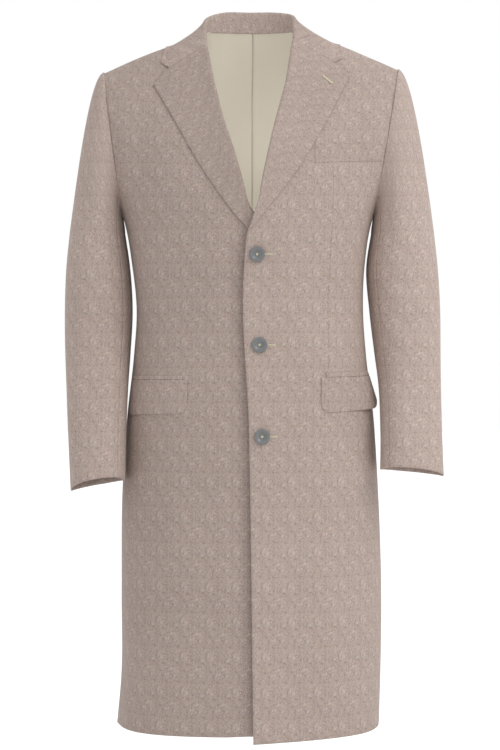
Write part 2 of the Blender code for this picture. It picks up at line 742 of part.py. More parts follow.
def button(number, across, height):
    """A turned disc with a raised rim, a dished face and four sewing holes, square to the front."""
    vertices = []
    for radius_share, rise_share in BUTTON_SECTION[1]:
        radius = BUTTON_RADIUS * radius_share
        for k in range(BUTTON_SIDES):
            angle = 2 * math.pi * k / BUTTON_SIDES
            vertices.append((radius * math.cos(angle), radius * math.sin(angle), BUTTON_THICK * rise_share))
    top = BUTTON_SIDES * (len(BUTTON_SECTION[1]) - 1)
    faces = [tuple(range(BUTTON_SIDES))[::-1], tuple(range(top, top + BUTTON_SIDES))]
    for low in range(0, top, BUTTON_SIDES):
        for k in range(BUTTON_SIDES):
            after = low + (k + 1) % BUTTON_SIDES
            faces.append((low + k, after, after + BUTTON_SIDES, low + k + BUTTON_SIDES))
    piece = finish("button_" + str(number), vertices, faces, BUTTON_LOOK)
    point, outward = front_points("left", np.array(across), np.array(height))
    piece.location = Vector(point + outward * BUTTON_STANDOFF)
    piece.rotation_euler = Vector(outward).to_track_quat("Z", "Y").to_euler()
    for hole in range(4):
        angle = math.pi / 4 + math.pi / 2 * hole
        bpy.ops.mesh.primitive_cylinder_add(vertices=HOLE_SIDES, radius=HOLE_RADIUS, depth=4 * BUTTON_THICK)
        cutter = bpy.context.object
        cutter.name = piece.name + "_hole_" + str(hole + 1)
        cutter.parent = piece
        cutter.location = (HOLE_SPACING * math.cos(angle), HOLE_SPACING * math.sin(angle), BUTTON_THICK / 2)
        cutter.hide_render = True
        cutter.display_type = "WIRE"
        cut = piece.modifiers.new("hole_" + str(hole + 1), "BOOLEAN")
        cut.object = cutter


front("left", HEM_LEFT)
front("right", HEM_RIGHT)
collar()
breast_welt()
for wearer_side in ("left", "right"):
    back(wearer_side)
    lining(wearer_side)
    sleeve(wearer_side)
    lapel(wearer_side)
    hip_pocket(wearer_side)
for button_number, (button_across, button_height) in enumerate(BUTTONS[1], start=1):
    button(button_number, button_across, button_height)
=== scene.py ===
import math

import bpy
import numpy as np
from mathutils import Matrix, Vector


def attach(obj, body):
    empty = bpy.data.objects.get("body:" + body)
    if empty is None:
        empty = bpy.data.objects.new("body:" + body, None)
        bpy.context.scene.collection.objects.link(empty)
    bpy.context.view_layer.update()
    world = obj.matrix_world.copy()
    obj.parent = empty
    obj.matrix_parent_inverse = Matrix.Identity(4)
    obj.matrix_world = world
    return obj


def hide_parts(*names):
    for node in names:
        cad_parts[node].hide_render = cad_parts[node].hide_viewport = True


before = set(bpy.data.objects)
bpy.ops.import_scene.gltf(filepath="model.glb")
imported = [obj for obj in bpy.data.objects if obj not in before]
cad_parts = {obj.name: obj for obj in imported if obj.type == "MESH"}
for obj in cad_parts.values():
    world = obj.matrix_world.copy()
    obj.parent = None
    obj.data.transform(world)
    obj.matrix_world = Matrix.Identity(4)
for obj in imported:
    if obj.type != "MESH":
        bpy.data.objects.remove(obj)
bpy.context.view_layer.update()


# Viewpoint: straight in front of the coat, level with the middle of its length, and three metres away.
# The picture is 500 by 750, and its height takes in 1.2 m of the coat at that distance.
VIEW_DISTANCE = 3.0
VIEW_HEIGHT = -0.504
VIEW_SPAN = 1.2
VIEW_SENSOR = 24.0


def put_in_scene(name, data):
    piece = bpy.data.objects.new(name, data)
    bpy.context.scene.collection.objects.link(piece)
    return piece


viewpoint_lens = bpy.data.cameras.new("viewpoint")
viewpoint_lens.sensor_width = VIEW_SENSOR
viewpoint_lens.lens = VIEW_SENSOR * VIEW_DISTANCE / VIEW_SPAN
viewpoint = put_in_scene("viewpoint", viewpoint_lens)
viewpoint.location = (0.0, -VIEW_DISTANCE, VIEW_HEIGHT)
viewpoint.rotation_euler = (math.radians(90), 0.0, 0.0)
bpy.context.scene.camera = viewpoint


# Fronts: two cut panels of brushed taupe wool, interlined so that they hang smooth, with turned front edges.
# The wearer's left one laps over the right one, and each stops at its roll line, inside the folded lapel.
WOOL_THICK = 0.0022
# Joined edges are tucked a little into each other
SEAM_TUCK = 0.0004
SIGN = {"right": -1.0, "left": 1.0}
NECK_POINT = {"right": 0.0750, "left": 0.0780}
SHOULDER_POINT = {"right": 0.2330, "left": 0.2365}
HEM_SIDE = -1.060
HEM_FRONT = {"right": -1.059, "left": -1.070}
UNDERARM = -0.250
SKIRT_TOP = -0.600
BODY_SQUARE = 2.4
# How each face turns over the shoulder, at the neck and at its end: depth of the turn and its roundness
TURN_ACROSS = (0.0750, 0.2330)
TURN = {"front": {"neck": (0.220, 0.80), "end": (0.125, 0.50)},
        "back": {"neck": (0.160, 0.50), "end": (0.125, 0.50)}}
BODY = (("height", "half_right", "half_left", "front", "back"), (
    (-1.071, 0.2080, 0.2050, 0.1310, 0.1260),
    (-0.980, 0.2015, 0.2080, 0.1300, 0.1260),
    (-0.850, 0.2030, 0.2095, 0.1290, 0.1270),
    (-0.680, 0.2030, 0.2040, 0.1280, 0.1260),
    (-0.570, 0.1960, 0.1970, 0.1250, 0.1210),
    (-0.470, 0.1850, 0.1850, 0.1190, 0.1080),
    (-0.400, 0.1810, 0.1805, 0.1170, 0.1010),
    (-0.330, 0.1880, 0.1830, 0.1220, 0.1080),
    (-0.250, 0.2035, 0.1975, 0.1270, 0.1190),
    (-0.200, 0.2245, 0.2195, 0.1190, 0.1230),
    (-0.150, 0.2415, 0.2405, 0.1070, 0.1210),
    (-0.085, 0.2680, 0.2700, 0.0880, 0.1130),
    (-0.040, 0.3000, 0.3040, 0.0780, 0.1040),
    (0.080, 0.3400, 0.3450, 0.0700, 0.0850),
))
SHOULDER = (("across", "height"), (
    (-0.300, -0.0520), (-0.232, -0.0215), (-0.178, 0.0030), (-0.120, 0.0245), (-0.075, 0.0380),
    (0.000, 0.0750), (0.078, 0.0410), (0.130, 0.0280), (0.192, 0.0030), (0.2445, -0.0205),
    (0.300, -0.0470),
))
FRONT_EDGE = {
    "right": (("height", "across"), (
        (-1.059, 0.0440), (-0.599, 0.0380), (-0.318, 0.0330), (-0.280, 0.0240), (-0.2541, 0.0040),
        (-0.2357, -0.0034), (-0.2204, -0.0070), (-0.179, -0.0185), (-0.102, -0.0420),
        (-0.028, -0.0600), (0.016, -0.0688), (0.038, -0.0745),
    )),
    "left": (("height", "across"), (
        (-1.070, 0.0050), (-0.599, -0.0015), (-0.318, -0.0077), (-0.280, -0.0030),
        (-0.2541, 0.0076), (-0.2357, 0.0128), (-0.2204, 0.0147), (-0.166, 0.0262), (-0.104, 0.0412),
        (-0.044, 0.0566), (0.009, 0.0650), (0.041, 0.0715),
    )),
}
# Soft folds of the skirt: degrees round the body, spread and depth at the hem
FLUTES = (
    (38.0, 15.0, 0.0035),
    (136.0, 16.0, 0.0030),
    (184.0, 12.0, 0.0060),
    (214.0, 11.0, -0.0035),
    (241.0, 12.0, 0.0055),
    (282.0, 10.0, 0.0040),
    (312.0, 13.0, -0.0040),
    (343.0, 13.0, 0.0045),
)
FLUTE_GROWTH = 1.3
# Soft creases of the fronts: across and height of both ends, half width and depth
FRONT_CREASES = {
    "right": (
        (-0.168, -0.075, -0.172, -0.235, 0.016, -0.0026),
        (-0.030, -0.300, -0.110, -0.345, 0.012, 0.0011),
        (-0.045, -0.345, -0.150, -0.372, 0.014, -0.0013),
        (-0.165, -0.300, -0.080, -0.410, 0.016, 0.0013),
        (-0.060, -0.470, -0.150, -0.440, 0.018, 0.0011),
        (-0.120, -0.600, -0.105, -0.960, 0.024, 0.0022),
        (-0.060, -0.700, -0.055, -1.050, 0.020, -0.0016),
    ),
    "left": (
        (0.172, -0.070, 0.170, -0.240, 0.016, -0.0026),
        (0.030, -0.312, 0.105, -0.350, 0.012, 0.0011),
        (0.050, -0.372, 0.155, -0.350, 0.015, -0.0012),
        (0.160, -0.290, 0.070, -0.420, 0.017, 0.0013),
        (0.050, -0.480, 0.140, -0.440, 0.017, 0.0010),
        (0.125, -0.610, 0.110, -0.980, 0.024, 0.0022),
        (0.070, -0.690, 0.064, -1.060, 0.018, -0.0014),
    ),
}
# How far from its middle a crease keeps its depth, as a share of its length, and how sharply it then fades
CREASE_REACH = 0.42
CREASE_FADE = 4
# The right front sinks under the left one, whose edge stands proud of it
LAP_RAMP = 0.046
LAP_SINK = 0.0070
LAP_LEVEL = 0.005
LAP_PROUD = 0.0024
LAP_PROUD_WIDTH = 0.050
LAP_TOP = -0.200
LAP_TOP_SOFTNESS = 0.050
# Above the top button the cloth stops inside the lapel's fold
ROLL_FROM = {"right": -0.285, "left": -0.262}
ROLL_SOFTNESS = 0.050
ROLL_RADIUS = 0.0028
LOW_STEPS = 84
ARM_STEPS = 40
FRONT_COLUMNS = 48
FRONT_CROWDING = 1.15
# A very small step, to find slopes and to part what touches
STEP = 1e-5
# Share of the thickness by which both faces stop short of a rounded edge
EDGE_ROUND = 0.42
# Passes that ease a turned piece's map flat, and how hard each one pulls
FLAT_PASSES = 500
FLAT_PULL = 1.6
WOOL_DARK = (0.350, 0.273, 0.241)
WOOL_MID = (0.452, 0.362, 0.320)
WOOL_LIGHT = (0.562, 0.463, 0.412)
WOOL_WARM = (0.560, 0.445, 0.350)
TINT_REACH = 0.40
CLOUD_NOISE = (11.0, 2.0)
CLOUD_REACH = 0.16
WOOL_NAP = {"Strength": 0.45, "Distance": 0.0012}
WOOL_FINISH = {
    "Roughness": 0.92, "Specular IOR Level": 0.20,
    "Sheen Weight": 0.18, "Sheen Roughness": 0.45, "Sheen Tint": (0.95, 0.90, 0.86),
}
# Painted shade and light: the wearer's right front's wool is darkened and the left front's lightened, as a
# light from the viewer's right would leave them
FRONT_PAINTED_SHADE = {"right": 0.92, "left": 1.035}
# Curled and straight fibres come round with the repeat: flecks across and along it, detail and start
CURL_FLECKS = (22.0, 28.0, 2.0, 7.3)
FIBRE_FLECKS = (29.0, 20.0, 1.5, 21.7)
LOOSE_FLECKS = {"scale": 600.0, "detail": 2.0, "stretch": (1.0, 1.0, 0.7), "distortion": 0.5}
FLECK_SHARES = (0.42, 0.33, 0.25)
FLECK_RANGE = (0.375, 0.50, 0.625)
WANDER_NOISE = (40.0, 1.0)
WANDER_REACH = 0.004
WOOL_REPEAT = (0.0404, 0.0539)
# A stroke's width and length are taken where it has half its strength
STROKE_FALL = 1.386
# Chart of one repeat, drawn as a list of strokes: across, up, width and length as shares of the repeat, and
# light or dark
WEAVE_CHART = (
    (0.59, 0.57, 0.086, 0.070, 0.19),
    (0.51, 0.70, 0.062, 0.047, 0.12),
    (0.45, 0.62, 0.047, 0.140, 0.11),
    (0.35, 0.60, 0.047, 0.125, -0.16),
    (0.22, 0.52, 0.062, 0.047, 0.17),
    (0.24, 0.43, 0.086, 0.047, -0.13),
    (0.12, 0.55, 0.055, 0.055, -0.13),
    (0.83, 0.52, 0.055, 0.062, -0.13),
    (0.02, 0.26, 0.078, 0.055, 0.16),
    (0.86, 0.27, 0.070, 0.039, -0.13),
    (0.76, 0.09, 0.047, 0.055, 0.17),
    (0.88, 0.10, 0.043, 0.062, 0.17),
    (0.14, 0.04, 0.062, 0.047, 0.16),
    (0.04, 0.07, 0.062, 0.047, -0.14),
    (0.51, 0.19, 0.062, 0.047, -0.15),
    (0.64, 0.04, 0.047, 0.047, -0.14),
    (0.30, 0.87, 0.062, 0.047, -0.12),
    (0.80, 0.88, 0.070, 0.047, -0.12),
    (0.66, 0.40, 0.094, 0.039, -0.10),
    (0.40, 0.36, 0.062, 0.047, -0.12),
)
# Warmer wool in the same repeat
WARM_CHART = (
    (0.66, 0.25, 0.110, 0.070, 0.50),
    (0.98, 0.24, 0.100, 0.060, 0.45),
    (0.27, 0.72, 0.070, 0.090, 0.40),
    (0.55, 0.63, 0.110, 0.080, 0.35),
)


def read(table, column, place):
    """Smooth value of one column of a table at each place along its first column."""
    names, rows = table
    data = np.array(rows)
    knots = data[:, 0]
    values = data[:, names.index(column)]
    slopes = np.gradient(values, knots)
    place = np.clip(np.asarray(place, float), knots[0], knots[-1])
    before = np.clip(np.searchsorted(knots, place) - 1, 0, len(knots) - 2)
    span = knots[before + 1] - knots[before]
    t = (place - knots[before]) / span
    near = (1 + 2 * t) * (1 - t) ** 2 * values[before] + t * (1 - t) ** 2 * span * slopes[before]
    far = t * t * (3 - 2 * t) * values[before + 1] + t * t * (t - 1) * span * slopes[before + 1]
    return near + far


def ease(t):
    t = np.clip(t, 0.0, 1.0)
    return t * t * (3 - 2 * t)


def unit(vectors):
    return vectors / np.maximum(np.linalg.norm(vectors, axis=-1, keepdims=True), 1e-12)


def body_half(x, z):
    return np.where(x > 0, read(BODY, "half_left", z), read(BODY, "half_right", z))


def body_plan(x, z):
    """Share of the half width, and the share of the depth that the rounded plan leaves there."""
    lean = np.clip(np.abs(x) / body_half(x, z), 0, 1)
    return lean, (1 - lean**BODY_SQUARE) ** (1 / BODY_SQUARE)


def body_depth(x, z, face):
    """Depth of the coat at its middle, less what the cloth loses where it turns over the shoulder."""
    neck_reach, neck_power = TURN[face]["neck"]
    end_reach, end_power = TURN[face]["end"]
    turn_from, turn_to = TURN_ACROSS
    outward = np.clip((np.abs(x) - turn_from) / (turn_to - turn_from), 0, 1)
    reach = neck_reach + (end_reach - neck_reach) * outward
    power = neck_power + (end_power - neck_power) * outward
    drop = np.clip((read(SHOULDER, "height", x) - z) / reach, 0.0, 1.0)
    return read(BODY, face, z) * (1 - (1 - drop) ** 2) ** power


def body_level(x, y, z, face):
    depth = np.maximum(body_depth(x, z, face), STEP)
    return (np.abs(x) / body_half(x, z)) ** BODY_SQUARE + (np.abs(y) / depth) ** BODY_SQUARE


def body_face(x, z, face):
    """Points and outward directions on the coat's outer face, from their place across and their height."""
    x, z = np.broadcast_arrays(np.asarray(x, float), np.asarray(z, float))
    toward = -1.0 if face == "front" else 1.0
    lean, plan = body_plan(x, z)
    y = body_depth(x, z, face) * plan
    grow_x = body_level(x + STEP, y, z, face) - body_level(x - STEP, y, z, face)
    grow_y = body_level(x, y + STEP, z, face) - body_level(x, y - STEP, z, face)
    grow_z = body_level(x, y, z + STEP, face) - body_level(x, y, z - STEP, face)
    outward = unit(np.stack([grow_x, toward * grow_y, grow_z], axis=-1))
    around = np.degrees(np.arctan2(-toward * plan, np.sign(x) * lean)) % 360
    deepen = np.clip((SKIRT_TOP - z) / (SKIRT_TOP - HEM_SIDE), 0, 1) ** FLUTE_GROWTH
    flute = np.zeros(np.shape(z))
    for place, spread, depth in FLUTES:
        flute = flute + depth * np.exp(-(((around - place) / spread) ** 2))
    points = np.stack([x, toward * (y - SEAM_TUCK / 2), z], axis=-1)
    return points + outward * (flute * deepen)[..., None], outward


def crease_lift(across, height, creases):
    """How far soft ridges and troughs move the cloth out. Each runs between two places and fades there."""
    lift = np.zeros(np.shape(across))
    for start_x, start_z, end_x, end_z, width, depth in creases:
        run_x, run_z = end_x - start_x, end_z - start_z
        length = math.hypot(run_x, run_z)
        along = ((across - start_x) * run_x + (height - start_z) * run_z) / length**2
        off = ((across - start_x) * run_z - (height - start_z) * run_x) / length
        fade = np.exp(-((np.abs(along - 0.5) / CREASE_REACH) ** CREASE_FADE))
        lift = lift + depth * np.exp(-((off / width) ** 2)) * fade
    return lift


def armhole(side, turn):
    """Point of the armhole: turn 0 at the shoulder point, a quarter at the front, half at the underarm."""
    sign = SIGN[side]
    turn = np.asarray(turn, float) % (2 * math.pi)
    top = read(SHOULDER, "height", sign * SHOULDER_POINT[side])
    rise = (1 + np.cos(turn)) / 2
    low = body_half(np.array(sign), np.array(UNDERARM))
    x = sign * (low + (SHOULDER_POINT[side] - low) * rise)
    z = UNDERARM + (top - UNDERARM) * rise
    front = body_face(x, z, "front")[0]
    back = body_face(x, z, "back")[0]
    return np.where((turn <= math.pi)[..., None], front, back)


def panel_net(side, inner, hem, shares, neck_height, top):
    """Across and height of a panel: rows from hem to shoulder, columns from its inner edge outward."""
    sign = SIGN[side]
    inner_hem, outer_hem = hem
    down = np.linspace(1, 0, LOW_STEPS + 1)
    inner_height = UNDERARM + (inner_hem - UNDERARM) * down
    outer_height = UNDERARM + (outer_hem - UNDERARM) * down
    inner_x = inner(inner_height)[:, None]
    outer_x = sign * body_half(np.full_like(down, sign), outer_height)[:, None]
    low_x = inner_x + (outer_x - inner_x) * shares
    low_z = inner_height[:, None] + (outer_height - inner_height)[:, None] * shares
    rise = (1 - np.cos(np.linspace(0, math.pi, ARM_STEPS + 1)[1:])) / 2
    arm_x = armhole(side, np.arccos(2 * rise - 1))[:, 0][:, None]
    high_inner = inner(UNDERARM + (neck_height - UNDERARM) * rise)[:, None]
    high_x = high_inner + (arm_x - high_inner) * shares
    high_z = UNDERARM + (top(high_x[-1]) - UNDERARM) * rise[:, None]
    return np.concatenate([low_x, high_x]), np.concatenate([low_z, high_z])


def level_seam(outward, x, z):
    """At the shoulder seam a panel faces straight up off the seam, and neither forward nor back."""
    slope = (read(SHOULDER, "height", x[-1] + STEP) - read(SHOULDER, "height", x[-1] - STEP)) / (2 * STEP)
    on_seam = np.abs(z[-1] - read(SHOULDER, "height", x[-1])) < STEP
    up = unit(np.stack([-slope, np.zeros_like(slope), np.ones_like(slope)], axis=-1))
    outward[-1] = np.where(on_seam[:, None], up, outward[-1])
    return outward


def roll_line(side, height):
    """Where the front cloth stops: at its edge below the top button, and inside the lapel's fold above."""
    set_back = SIGN[side] * ROLL_RADIUS * ease((height - ROLL_FROM[side]) / ROLL_SOFTNESS)
    return read(FRONT_EDGE[side], "across", height) + set_back


def front_points(side, x, z):
    """Points and outward directions on the outer face of a front, with its lap and creases."""
    points, outward = body_face(x, z, "front")
    past_edge = x - read(FRONT_EDGE["left"], "across", z)
    if side == "left":
        lift = LAP_PROUD * (1 - ease(past_edge / LAP_PROUD_WIDTH))
    else:
        below_break = ease((LAP_TOP - z) / LAP_TOP_SOFTNESS)
        lift = -LAP_SINK * ease((past_edge + LAP_RAMP) / (LAP_RAMP - LAP_LEVEL)) * below_break
    lift = lift + crease_lift(x, z, FRONT_CREASES[side])
    return points + outward * lift[..., None], outward


def lay_flat(net, flat):
    """Ease a map towards the true lengths of the cloth, across, along and on both slants of its net."""
    every, first, last = slice(None), slice(None, -1), slice(1, None)
    pairs = (
        ((every, first), (every, last)),
        ((first, every), (last, every)),
        ((first, first), (last, last)),
        ((first, last), (last, first)),
    )
    lengths = [np.linalg.norm(net[b] - net[a], axis=-1, keepdims=True) for a, b in pairs]
    for _ in range(FLAT_PASSES):
        move = np.zeros_like(flat)
        pulls = np.zeros(flat.shape[:2] + (1,))
        for (a, b), length in zip(pairs, lengths):
            span = flat[b] - flat[a]
            pull = span * (1 - length / np.maximum(np.linalg.norm(span, axis=-1, keepdims=True), STEP)) / 2
            move[a] += pull
            move[b] -= pull
            pulls[a] += 1
            pulls[b] += 1
        flat = flat + move / pulls * FLAT_PULL
    return flat


def sew_sheet(name, net, outward, thick, material, turned=None):
    """A sheet of cloth of even thickness with rounded edges, its outer face on a net, with a map in metres.

    A turned piece has its map eased flat, and then turned to the given angle and scaled.
    """
    rows, columns = net.shape[:2]
    count = rows * columns
    outer = net.reshape(-1, 3).copy()
    inner = (net - outward * thick).reshape(-1, 3)
    grid = np.arange(count).reshape(rows, columns)
    rim = np.concatenate([grid[0, :-1], grid[:-1, -1], grid[-1, :0:-1], grid[:0:-1, 0]])
    middle = (outer[rim] + inner[rim]) / 2
    rim_row = np.clip(rim // columns, 1, rows - 2)
    rim_column = np.clip(rim % columns, 1, columns - 2)
    toward = outer[grid[rim_row, rim_column]] - outer[rim]
    facing = outward.reshape(-1, 3)[rim]
    toward = unit(toward - facing * np.sum(toward * facing, axis=1, keepdims=True))
    outer[rim] += toward * thick * EDGE_ROUND
    inner[rim] += toward * thick * EDGE_ROUND
    vertices = np.concatenate([outer, inner, middle])
    quads = (grid[:-1, :-1], grid[:-1, 1:], grid[1:, 1:], grid[1:, :-1])
    quads = np.stack([corner.ravel() for corner in quads], axis=1)
    after = np.roll(rim, -1)
    ring = 2 * count + np.arange(len(rim))
    ring_after = np.roll(ring, -1)
    faces = np.concatenate([
        quads,
        quads[:, ::-1] + count,
        np.stack([after, rim, ring, ring_after], axis=1),
        np.stack([ring_after, ring, rim + count, after + count], axis=1),
    ])
    middle_row, middle_column = rows // 2, columns // 2
    across = net[middle_row, middle_column + 1] - net[middle_row, middle_column]
    along = net[middle_row + 1, middle_column] - net[middle_row, middle_column]
    if np.dot(np.cross(across, along), outward[middle_row, middle_column]) < 0:
        faces = faces[:, ::-1]
    mesh = bpy.data.meshes.new(name)
    mesh.from_pydata(vertices.tolist(), [], faces.tolist())
    row_steps = np.linalg.norm(np.diff(net, axis=1), axis=2)
    column_steps = np.linalg.norm(np.diff(net, axis=0), axis=2)
    u = np.concatenate([np.zeros((rows, 1)), np.cumsum(row_steps, axis=1)], axis=1)
    v = np.concatenate([np.zeros((1, columns)), np.cumsum(column_steps, axis=0)])
    over = np.sign(np.mean(net[:, -1, 0] - net[:, 0, 0]))
    up = np.sign(np.mean(net[-1, :, 2] - net[0, :, 2]))
    u = net[:, [middle_column], 0] + over * (u - u[:, [middle_column]])
    v = net[[middle_row], :, 2] + up * (v - v[[middle_row]])
    flat_map = np.stack([u, v], axis=2)
    if turned is not None:
        flat_map = lay_flat(net, flat_map)
        angle, scale = turned
        edge = flat_map[-1, -1] - flat_map[0, -1]
        if angle is not None:
            angle = angle - math.atan2(edge[1], edge[0])
            cosine, sine = math.cos(angle), math.sin(angle)
            flat_map = flat_map @ np.array([[cosine, sine], [-sine, cosine]])
        flat_map = flat_map * scale
    flat_map = flat_map.reshape(-1, 2)
    flat_map = np.concatenate([flat_map, flat_map, flat_map[rim]])
    layer = mesh.uv_layers.new(name="cut")
    corners = np.empty(len(mesh.loops), np.int32)
    mesh.loops.foreach_get("vertex_index", corners)
    layer.data.foreach_set("uv", flat_map[corners].ravel().astype(np.float32))
    mesh.shade_smooth()
    mesh.materials.append(material)
    first = np.cross(net[:-1, 1:] - net[:-1, :-1], net[1:, :-1] - net[:-1, :-1])
    second = np.cross(net[1:, :-1] - net[1:, 1:], net[:-1, 1:] - net[1:, 1:])
    area = (np.linalg.norm(first, axis=2) + np.linalg.norm(second, axis=2)).sum() / 2
    width = row_steps.sum(axis=1).max()
    length = column_steps.sum(axis=0).max()
    return put_in_scene(name, mesh), (float(width), float(length)), float(area)


def set_sockets(tree, node, sockets):
    """Link other nodes' outputs into a node's sockets, and set plain values and colours on them."""
    for name, value in sockets.items():
        socket = node.inputs[name]
        if isinstance(value, bpy.types.NodeSocket):
            tree.links.new(value, socket)
        elif socket.type == "RGBA":
            socket.default_value = (*value, 1.0)
        else:
            socket.default_value = value


def add_node(tree, kind, sockets=None, **settings):
    node = tree.nodes.new("ShaderNode" + kind)
    for name, value in settings.items():
        setattr(node, name, value)
    set_sockets(tree, node, sockets or {})
    return node


def calculate(tree, operation, *values):
    return add_node(tree, "Math", dict(enumerate(values)), operation=operation).outputs[0]


def mix(tree, amount, first, second, how="MIX"):
    """Colour between two colours: a mixing node has them in sockets 6 and 7, and its result in 2."""
    sockets = {0: amount, 6: first, 7: second}
    return add_node(tree, "Mix", sockets, data_type="RGBA", blend_type=how).outputs[2]


def new_material(name):
    material = bpy.data.materials.new(name)
    material.use_nodes = True
    return material, material.node_tree, material.node_tree.nodes["Principled BSDF"]


def wool_melange():
    """Colour and height of the brushed wool: light and dark flecks, and the faint repeat of its weave."""
    group = bpy.data.node_groups.new("wool_melange", "ShaderNodeTree")
    group.interface.new_socket("Shade", in_out="INPUT", socket_type="NodeSocketFloat").default_value = 1.0
    group.interface.new_socket("Color", in_out="OUTPUT", socket_type="NodeSocketColor")
    group.interface.new_socket("Height", in_out="OUTPUT", socket_type="NodeSocketFloat")
    inputs = group.nodes.new("NodeGroupInput")
    outputs = group.nodes.new("NodeGroupOutput")
    place = add_node(group, "TexCoord").outputs["Object"]

    def noise(scale, detail, stretch=(1.0, 1.0, 1.0), distortion=0.0):
        stretched = add_node(group, "Mapping", {"Vector": place, "Scale": stretch}).outputs["Vector"]
        sockets = {"Vector": stretched, "Scale": scale, "Detail": detail, "Distortion": distortion}
        return add_node(group, "TexNoise", sockets).outputs["Fac"]

    cut = add_node(group, "UVMap", uv_map="cut")
    apart = add_node(group, "SeparateXYZ", {"Vector": cut.outputs["UV"]})
    wander = calculate(group, "SUBTRACT", noise(*WANDER_NOISE), 0.5)
    wander = calculate(group, "MULTIPLY", wander, WANDER_REACH)
    waves = []
    for axis, repeat in zip("XY", WOOL_REPEAT):
        phase = calculate(group, "ADD", apart.outputs[axis], wander)
        phase = calculate(group, "MULTIPLY", phase, 2 * math.pi / repeat)
        waves += [calculate(group, "COSINE", phase), calculate(group, "SINE", phase)]

    def woven(flecks_across, flecks_along, detail, start):
        """Flecks that come round again with each repeat of the weave."""
        wide, tall = flecks_across / (2 * math.pi), flecks_along / (2 * math.pi)
        ring = [
            calculate(group, "MULTIPLY_ADD", wave, reach, start)
            for wave, reach in zip(waves, (wide, wide, tall, tall))
        ]
        joined_up = add_node(group, "CombineXYZ", dict(enumerate(ring[:3]))).outputs["Vector"]
        sockets = {"Vector": joined_up, "W": ring[3], "Scale": 1.0, "Detail": detail}
        return add_node(group, "TexNoise", sockets, noise_dimensions="4D")

    def charted(chart, total):
        """Soft strokes of the chart, added up."""
        for across, up, width, length, strength in chart:
            narrow, short = (STROKE_FALL / (math.pi * size) ** 2 for size in (width, length))
            nearness = -narrow - short
            pulls = [
                fall * turned(2 * math.pi * centre)
                for fall, centre in ((narrow, across), (short, up)) for turned in (math.cos, math.sin)
            ]
            for wave, pull in zip(waves, pulls):
                nearness = calculate(group, "MULTIPLY_ADD", wave, pull, nearness)
            total = calculate(group, "MULTIPLY_ADD", calculate(group, "EXPONENT", nearness), strength, total)
        return total

    fibre = woven(*FIBRE_FLECKS)
    fleck = 0.0
    flecks = (woven(*CURL_FLECKS).outputs["Fac"], fibre.outputs["Fac"], noise(**LOOSE_FLECKS))
    for wool_fleck, share in zip(flecks, FLECK_SHARES):
        fleck = calculate(group, "MULTIPLY_ADD", wool_fleck, share, fleck)
    fleck = charted(WEAVE_CHART, fleck)
    ramp = add_node(group, "ValToRGB", {"Fac": fleck})
    stops = ramp.color_ramp.elements
    stops[0].position, middle, stops[1].position = FLECK_RANGE
    stops[0].color, stops[1].color = (*WOOL_DARK, 1.0), (*WOOL_LIGHT, 1.0)
    stops.new(middle).color = (*WOOL_MID, 1.0)
    tone = mix(group, charted(WARM_CHART, 0.0), ramp.outputs["Color"], WOOL_WARM)
    hues = add_node(group, "SeparateColor", {"Color": fibre.outputs["Color"]})
    red, blue = (
        calculate(group, "MULTIPLY_ADD", hues.outputs[hue], TINT_REACH, 1 - TINT_REACH / 2)
        for hue in ("Green", "Blue")
    )
    tint = add_node(group, "CombineColor", {"Red": red, "Green": 1.0, "Blue": blue})
    tone = mix(group, 1.0, tone, tint.outputs["Color"], "MULTIPLY")
    cloud = calculate(group, "MULTIPLY_ADD", noise(*CLOUD_NOISE), CLOUD_REACH, 1 - CLOUD_REACH / 2)
    # Shade is each piece's painted light or shade, laid over the wool's cloudy tone
    shade = calculate(group, "MULTIPLY", cloud, inputs.outputs["Shade"])
    grey = add_node(group, "CombineColor", {"Red": shade, "Green": shade, "Blue": shade})
    tone = mix(group, 1.0, tone, grey.outputs["Color"], "MULTIPLY")
    set_sockets(group, outputs, {"Color": tone, "Height": fleck})
    return group


wool_group = wool_melange()


def wool(name, shade):
    """Brushed wool for one piece: its flecks, a short nap, and the soft sheen that the nap gives."""
    material, tree, cloth = new_material(name)
    # shade is the piece's painted light or shade, carried into the wool's colour
    melange = add_node(tree, "Group", {"Shade": shade}, node_tree=wool_group).outputs
    nap = add_node(tree, "Bump", {"Height": melange["Height"], **WOOL_NAP}).outputs["Normal"]
    set_sockets(tree, cloth, {"Base Color": melange["Color"], "Normal": nap, **WOOL_FINISH})
    return material


for side in ("right", "left"):
    shares = np.sin(np.linspace(0, math.pi / 2, FRONT_COLUMNS + 1)) ** FRONT_CROWDING
    x, z = panel_net(
        side,
        lambda height: roll_line(side, height),
        (HEM_FRONT[side], HEM_SIDE),
        shares,
        FRONT_EDGE[side][1][-1][0],
        lambda across: read(SHOULDER, "height", across),
    )
    net, outward = front_points(side, x, z)
    outward = level_seam(outward, x, z)
    front_wool = wool("front_wool_" + side, FRONT_PAINTED_SHADE[side])
    front_cloth, cut_size, cut_area = sew_sheet("front_cloth_" + side, net, outward, WOOL_THICK, front_wool)
    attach(front_cloth, "root")
    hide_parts("front_" + side)


# Backs: two cut panels of the same wool, joined down the middle by a plain seam and sewn to the fronts at the
# side and shoulder seams. The cloth hollows at the waist and breaks softly below the shoulder blades.
NECK_COLUMNS = 14
BACK_COLUMNS = 30
BACK_NECK = 0.045
